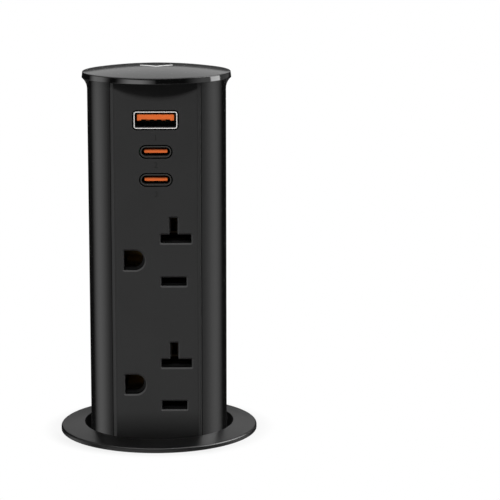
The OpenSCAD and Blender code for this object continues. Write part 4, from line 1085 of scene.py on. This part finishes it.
# %% [markdown]
# ## What the black parts mirror
# Black plastic shows what it mirrors. In the photograph the columns carry one soft upright streak each, the
# lid's rim has short bright and dark stretches, and the flange has a light edge. A lamp for each of these
# would also light the colours. So a large dome round the scene holds them as bright cards on a dark wall,
# painted by direction, and only mirror rays see it.

# %% The studio
STUDIO_R, BRIGHTEST = 3000, 12.0


def hump(value, start, full, fading, end):
    """0 before start and after end, 1 from full to fading, with an even S on both sides."""
    return value.ramp(start, full) * (1 - value.ramp(fading, end))


def studio_pattern(place):
    """Brightness by direction. Bearing runs from the front to the right, slope is height over distance.
    Below the horizon, where upright walls look: a wide card in front, a white window at each side. Round the
    horizon, where only the lid's leaning rim looks: a card on each side of the front, a small bright window
    on the right. Behind: dark up to the height that the middle of the lid mirrors, light above it. Higher
    up, where rounded edges look: a wide dim card, a bright one on the right. Overhead: a bright ceiling."""
    x, y, z = place.axes()
    bearing = place.math("ARCTAN2", x, 0 - y) * (180 / pi)
    slope = z / place.math("SQRT", x * x + y * y)
    leftwards = 0 - bearing
    wall = hump(slope, -0.80, -0.60, -0.060, -0.045)
    front = 0.90 * hump(bearing, -75, -62, 5, 40) + 0.35 * hump(bearing, 5, 40, 55, 75)
    right_window = 0.85 * hump(bearing, 78, 104, 108, 142) + 0.33 * hump(bearing, 55, 70, 82, 100)
    left_window = 0.95 * hump(leftwards, 74, 108, 110, 140)
    round_rim = hump(slope, -0.045, -0.030, 0.20, 0.25)
    rim = 0.84 * hump(bearing, -66, -36, -26, 6) * (1 - bearing.ramp(-0.8, 0.4))
    rim = rim + 0.58 * hump(leftwards, 72, 94, 104, 126) + 2.0 * hump(bearing, 91.5, 94.5, 114, 116.5)
    rim = rim + 0.28 * hump(bearing, 42, 80, 88, 118) + 0.13 * hump(bearing, 100, 115, 140, 160)
    behind = abs(bearing).ramp(160, 172) * (0.05 + 0.52 * slope.ramp(0.184, 0.200)) * slope.ramp(-0.3, -0.2)
    edge = 0.7 * hump(bearing, -130, -110, 20, 60) + 10.5 * hump(bearing, 50, 80, 115, 135)
    edge = edge * hump(slope, 0.30, 0.40, 1.2, 1.4)
    above = 4.0 * slope.ramp(1.8, 2.6)
    return 0.008 + wall * (front + right_window + left_window) + round_rim * rim + behind + edge + above


latitude = np.linspace(-pi / 2, pi / 2, 33)[:, None]
longitude = np.linspace(0, 2 * pi, 64, endpoint=False)[None]
ball = turned(STUDIO_R * np.cos(latitude), STUDIO_R * np.sin(latitude), longitude), quads(33, 64)
studio = placed("studio", shell_mesh("studio", [ball]))
hide_from(studio, "camera", "diffuse", "transmission", "volume_scatter", "shadow")
paint = finish("studio_paint", lambda place: {
    "Emission Color": (studio_pattern(place) / BRIGHTEST).mix(grey(0), grey(1))},
    Base_Color=grey(0), Emission_Strength=BRIGHTEST, Specular_IOR_Level=0.0)
paint.cycles.emission_sampling = "NONE"
studio.data.materials.append(paint)
studio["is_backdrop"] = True
print("studio", round(studio.dimensions.x, 1), "m wide")

# %% [markdown]
# The flange is darkest in front of the tower. A small card there keeps the front lamp off it, and only
# shadow rays meet the card. The collar and the clamp aren't mirrored in other parts: the columns' streaks
# run down unbroken, and the desk, which would hide the clamp, is left out of the mirrors too.

# %% The shadow card
FLAG_LOW, FLAG_HIGH, FLAG_FRONT, FLAG_BACK = (-52, 10), (16, 27), -41.2, -41
card = prism(rectangle(FLAG_LOW, FLAG_HIGH, 0.5), [(FLAG_FRONT, 0), (FLAG_BACK, 0)], frontwards)
flag = placed("flag", shell_mesh("flag", [card]))
hide_from(flag, "camera", "diffuse", "glossy", "transmission", "volume_scatter")
flag.data.materials.append(finish("flag_felt", moulded(0.001, 0.002, 0.9), Specular_IOR_Level=0.0))
flag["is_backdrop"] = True
unmirrored = collar, washer, nut, frame["nodes"]["flange_gasket"]
for part in unmirrored:
    hide_from(part, "glossy")
print("not mirrored:", [part.name for part in unmirrored])

# %% [markdown]
# ## Lamps and background
# The colours need a plain, even light. One soft lamp stands in front and above, and weaker ones at the
# left, at the right and behind keep the other sides readable. The background is white to look at, but as a
# light it is very dim, so that it doesn't turn the black parts grey.

# %% The lamps
AIM = Vector((0, 0, 60 * MM))
DIM = 0.04


def lamp(name, place, power, size):
    """Soft square lamp that looks at the tower. Shiny parts mirror the studio instead of it."""
    light = bpy.data.lights.new(name, "AREA")
    light.energy, light.size = power, size
    obj = placed(name, light)
    way = AIM - Vector(place)
    obj.matrix_world = Matrix.Translation(place) @ way.to_track_quat("-Z", "Y").to_matrix().to_4x4()
    hide_from(obj, "glossy")


lamp("key_lamp", (-0.12, -1.50, 1.30), 42.0, 0.35)
lamp("left_lamp", (-1.30, -0.90, 0.90), 6.0, 0.5)
lamp("right_lamp", (1.50, 0.40, 0.60), 14.0, 0.8)
lamp("back_lamp", (-0.60, 1.40, 1.00), 16.0, 0.8)

world = bpy.data.worlds.new("world")
scene.world = world
world.use_nodes = True
sky = world.node_tree.nodes["Background"]
strength = DIM + seen_directly(world.node_tree) * (1 - DIM)
world.node_tree.links.new(strength.socket, sky.inputs["Strength"])
sky.inputs["Color"].default_value = grey(1.0)
scene.view_settings.view_transform = "Standard"

# %% [markdown]
# ## Size
# Both boxes, of the solids and of the dressed part, are measured, and the growth past the solids' box is
# printed. The dressed part may not grow out of the solids' box.

# %% Size and finish
new_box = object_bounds()
growth = [round((b - a) / MM, 3) for a, b in zip([*cad_box[0], *cad_box[1]], [*new_box[0], *new_box[1]])]
print("grown by", growth, "mm")
